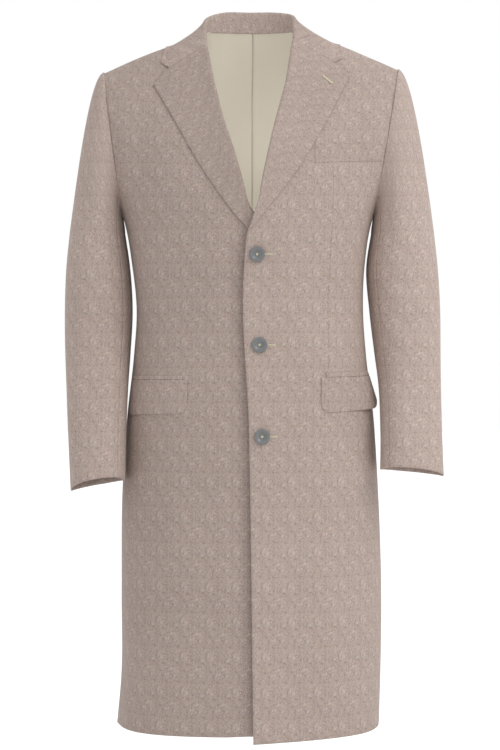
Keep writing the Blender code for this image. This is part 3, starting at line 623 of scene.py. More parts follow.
# The neck edge stands up along the foot of the collar
NECK_LINE = (("across", "depth", "height"), (
    (0.000, 0.0515, 0.0520),
    (0.041, 0.0440, 0.0515),
    (0.069, 0.0220, 0.0480),
    (0.078, 0.0090, 0.0440),
))
NECK_ROWS = 14
NECK_FADE = 3
BACK_SHADE = 1.0
BACK_CREASES = (
    (-0.150, -0.090, -0.165, -0.240, 0.018, -0.0028),
    (0.152, -0.085, 0.162, -0.245, 0.018, -0.0028),
    (-0.030, -0.370, -0.125, -0.345, 0.013, 0.0016),
    (0.036, -0.385, 0.130, -0.352, 0.014, 0.0017),
    (-0.050, -0.420, -0.150, -0.405, 0.015, -0.0015),
    (0.045, -0.440, 0.140, -0.418, 0.014, -0.0014),
    (-0.085, -0.560, -0.080, -0.990, 0.026, 0.0026),
    (0.092, -0.580, 0.088, -1.010, 0.024, 0.0024),
    (-0.030, -0.640, -0.034, -1.040, 0.018, -0.0014),
    (0.040, -0.650, 0.044, -1.050, 0.020, -0.0016),
)


def back_net(side):
    """Across and height of one half of the back."""
    sign = SIGN[side]
    neck = NECK_POINT[side]
    neck_share = neck / SHOULDER_POINT[side]
    inside = np.linspace(0, neck_share, NECK_COLUMNS + 1)[:-1]
    outside = neck_share + (1 - neck_share) * np.sin(np.linspace(0, math.pi / 2, BACK_COLUMNS + 1))
    neck_end = read(SHOULDER, "height", sign * neck)

    def top(across):
        scoop = BACK_NECK + (neck_end - BACK_NECK) * (across / neck) ** 2
        return np.where(np.abs(across) < neck - STEP, scoop, read(SHOULDER, "height", across))

    def middle(height):
        return np.full(np.shape(height), -sign * SEAM_TUCK / 2)

    return panel_net(side, middle, (HEM_SIDE, HEM_SIDE), np.concatenate([inside, outside]), BACK_NECK, top)


def back_points(side):
    x, z = back_net(side)
    net, outward = body_face(x, z, "back")
    outward = level_seam(outward, x, z)
    outward[:, 0, 0] = 0.0
    outward = unit(outward)
    net = net + outward * crease_lift(x, z, BACK_CREASES)[..., None]
    depth, height = (read(NECK_LINE, way, np.abs(x[-1])) for way in ("depth", "height"))
    neck_line = np.stack([x[-1], depth, height], axis=-1)
    at_neck = 1 - ease((np.arange(x.shape[1]) - NECK_COLUMNS) / NECK_FADE)
    reach_up = (ease(np.linspace(0, 1, NECK_ROWS + 1)[1:])[:, None] * at_neck)[..., None]
    net[-NECK_ROWS:] += reach_up * (neck_line - net[-1])
    outward[-NECK_ROWS:, :, 2:] *= 1 - reach_up
    return net, unit(outward)


for side in ("right", "left"):
    net, outward = back_points(side)
    back_wool = wool("back_wool_" + side, BACK_SHADE)
    back_cloth, cut_size, cut_area = sew_sheet("back_cloth_" + side, net, outward, WOOL_THICK, back_wool)
    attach(back_cloth, "root")
    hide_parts("back_" + side)


# Lining: a smooth khaki twill in two halves, seamed down the middle of the back and laid inside the wool.
# It shows in the neck, where its top edge is sewn to the foot of the collar's stand.
LINING_THICK = 0.0012
LINING_GAP = 0.0011
LINING_SHORT_HEM = 3
# The seam runs a little to the wearer's left of the middle, with a slight step where it leaves the neck
LINING_SEAM = ((-0.036, 0.0034), (-0.012, 0.0046))
LINING_SEAM_WIDTH = 0.0004
LINING_SEAM_REACH = 0.060
LINING_COLOUR = (0.735, 0.685, 0.570)
LINING_SHADE = (0.678, 0.632, 0.524)
TWILL_SLOPE = {"Rotation": (0.0, math.radians(52), 0.0), "Scale": (1.0, 1.0, 0.06)}
TWILL_THREAD = {"Scale": 900.0, "Detail": 2.0}
TWILL_RELIEF = {"Strength": 0.18, "Distance": 0.0004}
LINING_CLOUD = {"Scale": 16.0, "Detail": 2.0}
LINING_FINISH = {"Roughness": 0.62, "Specular IOR Level": 0.30, "Sheen Weight": 0.08}
# Share of the lighter colour: its least, and what the cloud and the threads add
LINING_LEAST, LINING_CLOUD_SHARE, LINING_THREAD_SHARE = 0.42, 0.50, 0.45


def lining_twill():
    """Smooth twill: fine slanted threads, with a faint cloud of tone over them."""
    material, tree, cloth = new_material("lining_twill")
    place = add_node(tree, "TexCoord").outputs["Object"]
    slope = add_node(tree, "Mapping", {"Vector": place, **TWILL_SLOPE}).outputs["Vector"]
    thread = add_node(tree, "TexNoise", {"Vector": slope, **TWILL_THREAD}).outputs["Fac"]
    cloud = add_node(tree, "TexNoise", {"Vector": place, **LINING_CLOUD}).outputs["Fac"]
    light = calculate(tree, "MULTIPLY_ADD", cloud, LINING_CLOUD_SHARE, LINING_LEAST)
    light = calculate(tree, "MULTIPLY_ADD", thread, LINING_THREAD_SHARE, light)
    weave = add_node(tree, "Bump", {"Height": thread, **TWILL_RELIEF}).outputs["Normal"]
    tone = mix(tree, light, LINING_SHADE, LINING_COLOUR)
    set_sockets(tree, cloth, {"Base Color": tone, "Normal": weave, **LINING_FINISH})
    return material


lining_cloth = lining_twill()
for side in ("right", "left"):
    net, outward = back_points(side)
    net = (net - outward * (WOOL_THICK + LINING_GAP))[:, :-1]
    outward = outward[:, :-1]
    near_seam = 1 - ease(np.abs(net[..., 0]) / LINING_SEAM_REACH)
    (seam_low, seam_low_x), (seam_high, seam_high_x) = LINING_SEAM
    seam_x = seam_low_x + (seam_high_x - seam_low_x) * ease((net[..., 2] - seam_low) / (seam_high - seam_low))
    net[..., 0] += near_seam * (seam_x + SIGN[side] * (SEAM_TUCK + LINING_SEAM_WIDTH) / 2)
    lining, cut_size, cut_area = sew_sheet(
        "lining_cloth_" + side,
        net[LINING_SHORT_HEM:],
        outward[LINING_SHORT_HEM:],
        LINING_THICK,
        lining_cloth,
    )
    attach(lining, "root")
    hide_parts("lining_" + side)


# Sleeves: a wide top piece and a narrow under piece of the same wool, sewn along the front and hind arm and
# set into the armhole with an eased head. The arm bends a little forward, so the cloth breaks at the elbow.
SLEEVE_RING = -0.278
SLEEVE_SQUARE = 2.2
SLEEVE_COLUMNS = ("height", "inner", "outer", "forward", "half_depth")
SLEEVE = {
    "right": (SLEEVE_COLUMNS, (
        (-0.690, 0.1970, 0.2765, 0.0780, 0.0460),
        (-0.580, 0.1960, 0.2835, 0.0560, 0.0500),
        (-0.520, 0.1945, 0.2875, 0.0360, 0.0530),
        (-0.470, 0.1925, 0.2915, 0.0140, 0.0560),
        (-0.400, 0.1900, 0.2935, 0.0000, 0.0610),
        (-0.330, 0.1945, 0.2910, -0.0020, 0.0660),
        (-0.278, 0.2020, 0.2855, 0.0000, 0.0690),
    )),
    "left": (SLEEVE_COLUMNS, (
        (-0.690, 0.2050, 0.3015, 0.0740, 0.0460),
        (-0.580, 0.2070, 0.2990, 0.0520, 0.0500),
        (-0.520, 0.2055, 0.2995, 0.0320, 0.0530),
        (-0.470, 0.2005, 0.3010, 0.0120, 0.0560),
        (-0.400, 0.1930, 0.3015, 0.0000, 0.0610),
        (-0.330, 0.1885, 0.2975, -0.0020, 0.0660),
        (-0.278, 0.1960, 0.2915, 0.0000, 0.0690),
    )),
}
CUFF = {"right": {"height": -0.6770, "slant": 0.0080, "front_rise": 0.0130},
        "left": {"height": -0.6575, "slant": 0.0050, "front_rise": 0.0100}}
CUFF_BEND = 3
FORE_SEAM = math.radians(140)
HIND_SEAM = math.radians(240)
HEAD_OUT = (0.060, 0.014)
HEAD_FORWARD = 0.40
HEAD_DROP = 0.30
HEAD_DOWN = 1.45
HEAD_LEAST_DOWN = 0.030
HEAD_SLANT = 0.13
HEAD_ROWS = 26
HEAD_CROWDING = 1.3
ARM_ROWS = 66
ROUND_STEP = math.radians(4)
ROUND_NUDGE = 1e-4
# Painted light: both sleeves' wool is lightened, the wearer's left sleeve most
SLEEVE_PAINTED_LIGHT = {"right": 1.03, "left": 1.13}
# Soft creases of the sleeves: distance round the arm from its outer side towards the front, and height, at
# both ends, then half width and depth
ROUND_RADIUS = 0.055
SLEEVE_CREASES = (
    (0.055, -0.395, 0.118, -0.372, 0.009, -0.0022),
    (0.040, -0.425, 0.112, -0.420, 0.010, 0.0016),
    (0.066, -0.455, 0.125, -0.440, 0.009, -0.0018),
    (0.060, -0.350, 0.110, -0.318, 0.011, -0.0015),
    (0.050, -0.150, 0.072, -0.290, 0.014, 0.0020),
    (0.092, -0.180, 0.098, -0.300, 0.011, -0.0020),
    (0.075, -0.480, 0.082, -0.655, 0.018, 0.0022),
    (0.030, -0.500, 0.036, -0.650, 0.015, -0.0014),
    (0.245, -0.170, 0.262, -0.300, 0.013, -0.0020),
    (0.285, -0.390, 0.240, -0.430, 0.010, 0.0016),
    (0.290, -0.440, 0.250, -0.490, 0.011, -0.0014),
)


def sleeve_ring(side, turn, height):
    """Point of the sleeve below the armhole, at a turn round it and a height in its table."""
    table = SLEEVE[side]
    inner = read(table, "inner", height)
    outer = read(table, "outer", height)
    cosine, sine = np.cos(turn), np.sin(turn)
    power = 2 / SLEEVE_SQUARE
    x = (inner + outer) / 2 + (outer - inner) / 2 * np.sign(cosine) * np.abs(cosine) ** power
    forward = read(table, "half_depth", height) * np.sign(sine) * np.abs(sine) ** power
    y = -read(table, "forward", height) - forward
    cuff = CUFF[side]
    rim = cuff["height"] - cuff["slant"] * cosine + cuff["front_rise"] * np.clip(sine, 0, 1)
    share = (SLEEVE_RING - height) / (SLEEVE_RING - cuff["height"])
    z = height + (rim - cuff["height"]) * share**CUFF_BEND
    return np.stack(np.broadcast_arrays(SIGN[side] * x, y, z), axis=-1)


def sleeve_head(side, turn, share):
    """Point of the sleeve between the armhole and its first whole ring."""
    start = armhole(side, turn)
    end = sleeve_ring(side, turn, SLEEVE_RING)
    low = ((1 - np.cos(turn)) / 2)[:, None]
    out = np.stack([
        np.full_like(turn, SIGN[side]),
        -HEAD_FORWARD * np.sin(turn),
        np.full_like(turn, -HEAD_DROP),
    ], axis=-1)
    leave = out * (HEAD_OUT[0] + (HEAD_OUT[1] - HEAD_OUT[0]) * low)
    down = np.maximum(HEAD_DOWN * (start[:, 2:] - SLEEVE_RING), HEAD_LEAST_DOWN)
    slant = SIGN[side] * HEAD_SLANT * (1 - low) * down
    arrive = np.concatenate([slant, np.zeros_like(down), -down], axis=1)
    start = start - unit(out) * SEAM_TUCK * 2
    t = share
    near = (1 + 2 * t) * (1 - t) ** 2 * start + t * (1 - t) ** 2 * leave
    return near + t * t * (3 - 2 * t) * end + t * t * (t - 1) * arrive


def sleeve_net(side, turn):
    head = np.linspace(0, 1, HEAD_ROWS, endpoint=False) ** HEAD_CROWDING
    arm = np.linspace(SLEEVE_RING, CUFF[side]["height"], ARM_ROWS + 1)
    rows = [sleeve_head(side, turn, share) for share in head]
    return np.stack(rows + [sleeve_ring(side, turn, height) for height in arm])


for side in ("right", "left"):
    under_count = round((HIND_SEAM - FORE_SEAM) / ROUND_STEP)
    under_turn = FORE_SEAM + ROUND_STEP * np.arange(under_count + 1)
    top_turn = under_turn[-1] + ROUND_STEP * np.arange(round(2 * math.pi / ROUND_STEP) - under_count + 1)
    for half, turn in (("under", under_turn), ("top", top_turn)):
        turn = turn.copy()
        turn[0] -= SEAM_TUCK / 2 / ROUND_RADIUS
        turn[-1] += SEAM_TUCK / 2 / ROUND_RADIUS
        net = sleeve_net(side, turn)
        around = sleeve_net(side, turn + ROUND_NUDGE) - sleeve_net(side, turn - ROUND_NUDGE)
        outward = unit(np.cross(np.gradient(net, axis=0), around)) * SIGN[side]
        distance = np.broadcast_to(turn % (2 * math.pi), net.shape[:2]) * ROUND_RADIUS
        net = net + outward * crease_lift(distance, net[..., 2], SLEEVE_CREASES)[..., None]
        name = "sleeve_" + half + "_cloth_" + side
        sleeve_wool = wool("sleeve_" + half + "_wool_" + side, SLEEVE_PAINTED_LIGHT[side])
        sleeve_cloth, cut_size, cut_area = sew_sheet(name, net, outward, WOOL_THICK, sleeve_wool)
        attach(sleeve_cloth, "root")
        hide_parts("sleeve_" + half + "_" + side)


# Lapels: the facing of each front, sewn to it along the outer edge, turned right side out and folded back
# over the front on a soft roll. The tops are cut off at the gorge seam, and a short step makes the notch.
LAPEL_THICK = 0.0022
LAPEL_REST = 0.0005
LAPEL_BELLY = 0.0022
LAPEL_COLUMNS = ("along", "roll_height", "edge_across", "edge_height")
LAPEL = {
    "right": (LAPEL_COLUMNS, (
        (0.00, -0.2720, 0.0040, -0.2895),
        (0.25, -0.2000, -0.0340, -0.2440),
        (0.50, -0.1230, -0.0770, -0.1810),
        (0.75, -0.0520, -0.1120, -0.1190),
        (1.00, 0.0195, -0.1520, -0.0475),
    )),
    "left": (LAPEL_COLUMNS, (
        (0.00, -0.2570, -0.0020, -0.2830),
        (0.25, -0.1920, 0.0330, -0.2410),
        (0.50, -0.1260, 0.0770, -0.1820),
        (0.75, -0.0520, 0.1200, -0.1080),
        (1.00, 0.0270, 0.1580, -0.0315),
    )),
}
NOTCH_SHARE = 0.70
GORGE_SEAM = -0.0020
NOTCH_RISE = {"right": 0.0090, "left": 0.0040}
NOTCH_SHARPNESS = 10
LAPEL_ROWS = 72
# The weave of a lapel runs across its outer edge, a little closer than on the fronts
LAPEL_GRAIN = {"right": math.pi, "left": 0.0}
LAPEL_WEAVE = 1.17
# Painted shade darkens the wearer's right lapel's wool, and painted light lightens the left one a little
LAPEL_PAINTED_SHADE = {"right": 0.88, "left": 1.01}
LEAF_COLUMNS = 34
FACING_COLUMNS = 10
FACING_DEPTH = 0.34
FOLD_STEPS = 11
LEAF_SHARES = np.linspace(0, 1, LEAF_COLUMNS)[None, :]
FACING_SHARES = np.linspace(FACING_DEPTH, 0, FACING_COLUMNS)[None, :]
FOLD_TURNS = np.radians(np.linspace(180, 0, FOLD_STEPS))[1:-1]


def lapel_place(side, along, share):
    """Across and height on a lapel, from its place along the roll line and its share out to the edge."""
    roll_z = read(LAPEL[side], "roll_height", along)
    roll_x = roll_line(side, roll_z)
    edge_x = read(LAPEL[side], "edge_across", along)
    edge_z = read(LAPEL[side], "edge_height", along)
    peak = np.minimum(share / NOTCH_SHARE, (1 - share) / (1 - NOTCH_SHARE))
    z = roll_z + (edge_z - roll_z) * share + NOTCH_RISE[side] * peak * along**NOTCH_SHARPNESS
    return roll_x + (edge_x - roll_x) * share, z


def lapel_rise(share):
    return LAPEL_REST + LAPEL_THICK / 2 + LAPEL_BELLY * (1 - share) ** 2


gorge = {}
for side in ("right", "left"):
    along = np.linspace(0, 1, LAPEL_ROWS + 1)[:, None]
    points, facing = front_points(side, *lapel_place(side, along, LEAF_SHARES))
    leaf = points + facing * lapel_rise(LEAF_SHARES)[..., None]
    under_points, under_facing = front_points(side, *lapel_place(side, along, FACING_SHARES))
    under_drop = WOOL_THICK + LAPEL_REST + LAPEL_THICK / 2
    under = under_points - under_facing * under_drop
    rise = float(lapel_rise(0.0))
    radius = (rise + under_drop) / 2
    pivot = points[:, 0] + facing[:, 0] * (rise - under_drop) / 2
    to_neck = unit(points[:, 0] - points[:, 1])
    fold = [pivot + radius * (facing[:, 0] * math.cos(a) + to_neck * math.sin(a)) for a in FOLD_TURNS]
    net = np.concatenate([under, np.stack(fold, axis=1), leaf], axis=1)
    top_edge = net[-1] + unit(net[-1] - net[-2]) * GORGE_SEAM
    in_fold = slice(under.shape[1] - 1, under.shape[1] + len(fold) + 1)
    gorge[side] = (top_edge[:under.shape[1]], top_edge[in_fold], top_edge[-leaf.shape[1]:])
    outward = unit(np.cross(np.gradient(net, axis=1), np.gradient(net, axis=0)))
    on_leaf = (LAPEL_ROWS // 2, -3)
    outward = outward * np.sign(np.sum(outward[on_leaf] * facing[on_leaf]))
    lapel_wool = wool("lapel_wool_" + side, LAPEL_PAINTED_SHADE[side])
    lapel_cloth, cut_size, cut_area = sew_sheet(
        "lapel_cloth_" + side, net + outward * LAPEL_THICK / 2, outward, LAPEL_THICK, lapel_wool,
        (LAPEL_GRAIN[side], LAPEL_WEAVE),
    )
    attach(lapel_cloth, "root")
    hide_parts("lapel_" + side)


# Collar: one folded strip of wool over canvas. Its stand is sewn to the neck, and its leaf turns down over
# the shoulders and meets the lapels along the gorge seams.
COLLAR_THICK = 0.0022
COLLAR_FOLD_RADIUS = 0.0032
COLLAR_SAG = 0.0010
COLLAR_LIFT = -0.0008
# Round the back of the neck the leaf stands a little further off
COLLAR_BACK_LIFT = 0.0022
COLLAR_BACK = (0.42, 0.62)
COLLAR_COLUMNS = (
    "along", "fold_x", "fold_y", "fold_z", "foot_x", "foot_y", "foot_z", "edge_x", "edge_y",
)
COLLAR = {
    "right": (COLLAR_COLUMNS, (
        (0.00, 0.0000, 0.0460, 0.0835, 0.0000, 0.0480, 0.0500, 0.0000, 0.0765),
        (0.25, -0.0410, 0.0400, 0.0825, -0.0410, 0.0400, 0.0495, -0.0560, 0.0658),
        (0.48, -0.0675, 0.0190, 0.0710, -0.0690, 0.0180, 0.0460, -0.1010, 0.0460),
        (0.66, -0.0725, 0.0030, 0.0590, -0.0740, 0.0020, 0.0410, -0.1280, 0.0150),
        (0.80, -0.0725, -0.0080, 0.0465, -0.0725, -0.0080, 0.0360, -0.1350, -0.0030),
        (0.91, -0.0715, -0.0180, 0.0340, -0.0690, -0.0170, 0.0270, -0.1390, -0.0160),
        (1.00, -0.0705, -0.0260, 0.0220, -0.0660, -0.0240, 0.0150, -0.1420, -0.0300),
    )),
    "left": (COLLAR_COLUMNS, (
        (0.00, 0.0000, 0.0460, 0.0835, 0.0000, 0.0480, 0.0500, 0.0000, 0.0765),
        (0.25, 0.0405, 0.0400, 0.0825, 0.0405, 0.0400, 0.0495, 0.0560, 0.0655),
        (0.48, 0.0665, 0.0190, 0.0750, 0.0680, 0.0180, 0.0470, 0.1050, 0.0460),
        (0.66, 0.0712, 0.0030, 0.0650, 0.0735, 0.0020, 0.0440, 0.1380, 0.0150),
        (0.80, 0.0708, -0.0080, 0.0530, 0.0718, -0.0080, 0.0400, 0.1450, -0.0030),
        (0.91, 0.0700, -0.0150, 0.0420, 0.0680, -0.0150, 0.0330, 0.1470, -0.0160),
        (1.00, 0.0690, -0.0220, 0.0300, 0.0650, -0.0210, 0.0230, 0.1480, -0.0280),
    )),
}
COLLAR_NOTCH = {"right": (-0.1260, -0.0165), "left": (0.1310, -0.0085)}
COLLAR_NOTCH_SHARE = 0.80
COLLAR_CORNER_FROM = 0.90
# Painted shade: the collar's wool is a little darker than the body's
COLLAR_PAINTED_SHADE = 0.98
COLLAR_SECTIONS = 70
COLLAR_STAND = 8
COLLAR_LEAF = 24
COLLAR_FOLD = 13
BLEND_FROM = 0.66
TOP_SEARCH = 0.16
TOP_SEARCH_STEPS = 40


def shoulder_top(x, y):
    """Height of the coat's outer face over a place in plan near the neck and shoulders."""
    x, y = np.broadcast_arrays(np.asarray(x, float), np.asarray(y, float))
    high = read(SHOULDER, "height", x)
    low = high - TOP_SEARCH
    for _ in range(TOP_SEARCH_STEPS):
        middle = (high + low) / 2
        depth = np.where(y < 0, body_depth(x, middle, "front"), body_depth(x, middle, "back"))
        reach = depth * body_plan(x, middle)[1]
        high = np.where(reach > np.abs(y), high, middle)
        low = np.where(reach > np.abs(y), middle, low)
    return (high + low) / 2


def collar_half(side, along):
    """Middle of the collar's cloth on one side: rows along the neck, columns from foot to fold to edge."""
    table = COLLAR[side]
    fold = np.stack([read(table, "fold_" + axis, along) for axis in "xyz"], axis=-1)
    foot = np.stack([read(table, "foot_" + axis, along) for axis in "xyz"], axis=-1)
    edge_x = read(table, "edge_x", along)
    edge_y = read(table, "edge_y", along)
    behind = 1 - ease((along - COLLAR_BACK[0]) / (COLLAR_BACK[1] - COLLAR_BACK[0]))
    lift = LAPEL_REST + COLLAR_THICK / 2 + COLLAR_LIFT
    edge = np.stack([edge_x, edge_y, shoulder_top(edge_x, edge_y) + lift], axis=-1)
    level = unit((edge - fold) * (1.0, 1.0, 0.0))
    up = np.array([0.0, 0.0, 1.0])
    centre = fold - up * COLLAR_FOLD_RADIUS
    over = [centre + COLLAR_FOLD_RADIUS * (level * math.cos(a) + up * math.sin(a))
            for a in np.radians(np.linspace(180, 0, COLLAR_FOLD))]
    stand = [foot + (over[0] - foot) * share for share in np.linspace(0, 1, COLLAR_STAND, endpoint=False)]
    leaf = []
    notch_x, notch_z = COLLAR_NOTCH[side]
    notch = body_face(notch_x, notch_z, "front")[0]
    last = ease((along - COLLAR_CORNER_FROM) / (1 - COLLAR_CORNER_FROM))[:, None] ** 2
    corner = (notch - (over[-1] + (edge - over[-1]) * COLLAR_NOTCH_SHARE))[:, :2] * last
    for share in np.linspace(0, 1, COLLAR_LEAF + 1)[1:]:
        point = over[-1] + (edge - over[-1]) * share
        peak = min(share / COLLAR_NOTCH_SHARE, (1 - share) / (1 - COLLAR_NOTCH_SHARE))
        point[:, :2] += corner * peak
        sag = COLLAR_SAG * 4 * share * (1 - share)
        least = shoulder_top(point[:, 0], point[:, 1]) + lift
        point[:, 2] = np.maximum(point[:, 2] - sag, least)
        off_back = body_face(point[:, 0], point[:, 2], "back")[1]
        point += off_back * (COLLAR_BACK_LIFT * behind * share)[:, None]
        leaf.append(point)
    whole = np.stack(stand + over + leaf, axis=1)
    to_gorge = ease((along - BLEND_FROM) / (1 - BLEND_FROM))[:, None, None]
    return whole + (gorge_section(side, whole[-1, -1]) - whole[-1]) * to_gorge


def spread(points, shares):
    """Points at each share of the way along a row of points."""
    steps = np.linspace(0, 1, len(points))
    return np.stack([np.interp(shares, steps, points[:, axis]) for axis in range(3)], axis=-1)


def gorge_section(side, tip):
    """End of the collar: along the lapel's top edge to the notch, and then out to the collar's tip."""
    under, fold, leaf = gorge[side]
    shares = np.linspace(0, 1, COLLAR_LEAF + 1)[1:]
    on_lapel = spread(leaf, np.minimum(shares / COLLAR_NOTCH_SHARE, 1) * NOTCH_SHARE)
    past = np.clip((shares - COLLAR_NOTCH_SHARE) / (1 - COLLAR_NOTCH_SHARE), 0, 1)[:, None]
    return np.concatenate([
        spread(under, np.linspace(0, 1, COLLAR_STAND, endpoint=False)),
        spread(fold, np.linspace(0, 1, COLLAR_FOLD)),
        on_lapel + (tip - on_lapel) * past,
    ])


along = np.linspace(0, 1, COLLAR_SECTIONS + 1)
right_half = collar_half("right", along)
left_half = collar_half("left", along)
net = np.concatenate([right_half[::-1], left_half[1:]])
outward = unit(np.cross(np.gradient(net, axis=1), np.gradient(net, axis=0)))
outward = outward * np.sign(outward[COLLAR_SECTIONS, -1, 1])
net, outward = np.swapaxes(net, 0, 1), np.swapaxes(outward, 0, 1)
collar_wool = wool("collar_wool", COLLAR_PAINTED_SHADE)
collar_cloth, cut_size, cut_area = sew_sheet(
    "collar_cloth", net + outward * COLLAR_THICK / 2, outward, COLLAR_THICK, collar_wool, (None, 1.0)
)
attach(collar_cloth, "root")
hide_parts("collar")


# Hip pockets: a narrow jet strip sewn along each pocket mouth, and under it a lined flap with rounded lower
# corners. The outer end of the wearer's left flap stands a little away from the coat.
FLAP_THICK = 0.0020
JET_THICK = 0.0014
POCKET_SIZES = ("start", "end", "jet_top", "flap_top", "flap_foot", "tilt", "foot_tilt", "flare")
POCKET = {
    "right": dict(zip(POCKET_SIZES, (0.510, 0.975, -0.5050, -0.5115, -0.5640, 0.0000, -0.0030, 0.0012))),
    "left": dict(zip(POCKET_SIZES, (0.580, 0.985, -0.5000, -0.5080, -0.5635, 0.0030, 0.0070, 0.0085))),
}
FLAP_CORNER = 0.0135
FLAP_CORNER_SHARE = 0.13
FLAP_FLARE_FROM = 0.40
FLAP_REST = -0.0005
JET_REST = -0.0001
JET_STAND = 0.22
JET_INSET = 0.04
JET_INSET_FADE = 4
FLAP_PUFF = 0.0011
PUFF_FROM = 0.12
PUFF_ACROSS = 0.6
PUFF_DOWN = 0.8
CORNER_COLUMNS = 9
FLAP_COLUMNS = 27
FLAP_ROWS = 19
JET_ROWS = 5
LEAST_CUT = 0.010
# Painted shade: the flap and jet on the wearer's right front are a little darker than those on the left
POCKET_PAINTED_SHADE = {"right": 0.96, "left": 1.0}


def laid_on_front(name, side, x, z, lift, thick, shade):
    """A strip or leaf of cloth that lies on a front, made from its points."""
    points, facing = front_points(side, x, z)
    net = points + facing * (np.broadcast_to(lift, x.shape) + thick)[..., None]
    # shade is painted light or shade on the piece's wool
    piece, size, area = sew_sheet(name, net, facing, thick, wool(name + "_wool", shade))
    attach(piece, "root")
    return piece, (size[0], max(size[1], LEAST_CUT)), area


for side in ("right", "left"):
    sign = SIGN[side]
    size = POCKET[side]
    start = math.acos(size["end"] ** (BODY_SQUARE / 2))
    stop = math.acos(size["start"] ** (BODY_SQUARE / 2))
    near_end = FLAP_CORNER_SHARE * (1 - np.cos(np.linspace(0, math.pi / 2, CORNER_COLUMNS)))
    between = np.linspace(FLAP_CORNER_SHARE, 1 - FLAP_CORNER_SHARE, FLAP_COLUMNS)[1:-1]
    along = np.concatenate([near_end, between, (1 - near_end)[::-1]])
    lean = np.cos(stop + (start - stop) * along) ** (2 / BODY_SQUARE)
    tilt = size["tilt"] * along
    top_half = body_half(np.array(sign), np.array(size["flap_top"]))
    down = np.linspace(0, 1, JET_ROWS)[:, None]
    z = size["flap_top"] + (size["jet_top"] - size["flap_top"]) * down + tilt
    x = sign * (lean + JET_INSET * (1 - along) ** JET_INSET_FADE) * body_half(np.full_like(z, sign), z)
    stand = size["flare"] * ease((along - FLAP_FLARE_FROM) / (1 - FLAP_FLARE_FROM))
    lift = JET_REST + stand * JET_STAND * (1 - down)
    jet, cut_size, cut_area = laid_on_front(
        "jet_cloth_" + side, side, x, z, lift, JET_THICK, POCKET_PAINTED_SHADE[side]
    )
    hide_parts("jet_" + side)
    round_off = np.clip(1 - np.minimum(along, 1 - along) / FLAP_CORNER_SHARE, 0, 1)
    corner = FLAP_CORNER * (1 - np.sqrt(1 - round_off**2))
    down = np.linspace(0, 1, FLAP_ROWS)[:, None]
    foot = size["flap_foot"] + size["foot_tilt"] * along + corner
    top = size["flap_top"] + tilt
    z = top + (foot - top) * down
    x = sign * lean * (top_half + (body_half(np.full_like(z, sign), z) - top_half) * along)
    flare = stand * (JET_STAND + (1 - JET_STAND) * down)
    puff_down = np.sin(math.pi * (PUFF_FROM + (1 - PUFF_FROM) * down)) ** PUFF_DOWN
    puff = FLAP_PUFF * np.sin(math.pi * along) ** PUFF_ACROSS * puff_down
    flap, cut_size, cut_area = laid_on_front(
        "flap_cloth_" + side, side, x, z, FLAP_REST + flare + puff, FLAP_THICK, POCKET_PAINTED_SHADE[side]
    )
    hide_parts("flap_" + side)


# Breast pocket: a slanted welt of doubled wool on the wearer's left front. It stands over the pocket's mouth
# and is sewn down at its foot and its ends.
WELT_START = (0.1000, -0.1770)
WELT_END = (0.2060, -0.1695)
WELT_HEIGHT = 0.0285
WELT_THICK = 0.0016
WELT_REST = -0.0007
WELT_SHADE = 1.0
WELT_COLUMNS = 45
WELT_ROWS = 13
along = np.linspace(0, 1, WELT_COLUMNS)
down = np.linspace(0, 1, WELT_ROWS)[:, None]
x = WELT_START[0] + (WELT_END[0] - WELT_START[0]) * along
z = WELT_START[1] + (WELT_END[1] - WELT_START[1]) * along + WELT_HEIGHT * down
x = np.broadcast_to(x, z.shape)
welt, cut_size, cut_area = laid_on_front("welt_cloth", "left", x, z, WELT_REST, WELT_THICK, WELT_SHADE)
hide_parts("breast_welt")


# Front dart: a narrow fold of the wool, taken in on the inside to shape the wearer's left front. Only its
# sewn line shows, from under the breast pocket down to the hip pocket.
DART_LINE = (("height", "across"), (
    (-0.4925, 0.1222), (-0.3600, 0.1220), (-0.3050, 0.1252), (-0.2500, 0.1284), (-0.1820, 0.1292),
))
DART_WIDTH = 0.0016
DART_THICK = 0.0006
DART_PROUD = 0.0002
# Painted shade: the seam strip's wool is darker than the front's, for the shadow along the sewn line
DART_PAINTED_SHADE = 0.88
DART_ROWS = 80
DART_COLUMNS = 4
z = np.linspace(DART_LINE[1][0][0], DART_LINE[1][-1][0], DART_ROWS)[:, None]
x = read(DART_LINE, "across", z) + np.linspace(-0.5, 0.5, DART_COLUMNS)[None, :] * DART_WIDTH
z = np.broadcast_to(z, x.shape)
dart_painted_shade = FRONT_PAINTED_SHADE["left"] * DART_PAINTED_SHADE
laid_on_front("dart_seam", "left", x, z, DART_PROUD - DART_THICK, DART_THICK, dart_painted_shade)


# Buttons: turned grey discs with a raised rim, a dished middle and four holes, sewn on with cream thread.
# Each stands on a short shank just clear of the cloth.
BUTTONS = ((0.0107, -0.3185), (0.0147, -0.4580), (0.0184, -0.5990))
BUTTON_RADIUS = 0.0120
BUTTON_THICK = 0.0042
BUTTON_STANDOFF = 0.0005
BUTTON_RIM = (0.0034, -0.0001)
BUTTON_DISH = (0.0040, -0.0025)
BUTTON_BOWL = (0.0016, -0.0003)
BUTTON_BACK = (0.0024, 0.0009)
BUTTON_SOFTNESS = 0.0006
BUTTON_SOFTNESS_STEPS = 3
BUTTON_SOFTNESS_ANGLE = math.radians(12)
BUTTON_SMOOTH_ANGLE = math.radians(35)
BUTTON_SIDES = 72
BUTTON_FLAT = 0.9
HOLE_RADIUS = 0.0010
HOLE_SPACING = 0.0023
HOLE_SIDES = 20
BUTTON_GREY = (0.158, 0.162, 0.164)
BUTTON_PALE = (0.225, 0.229, 0.231)
BUTTON_STREAK = {"Scale": 150.0, "Detail": 3.0, "Distortion": 1.2}
BUTTON_GLOSS = {"To Min": 0.30, "To Max": 0.42}
BUTTON_FINISH = {"Coat Weight": 0.25, "Coat Roughness": 0.25}
THREAD_RADIUS = 0.00042
THREAD_LIFT = 0.0003
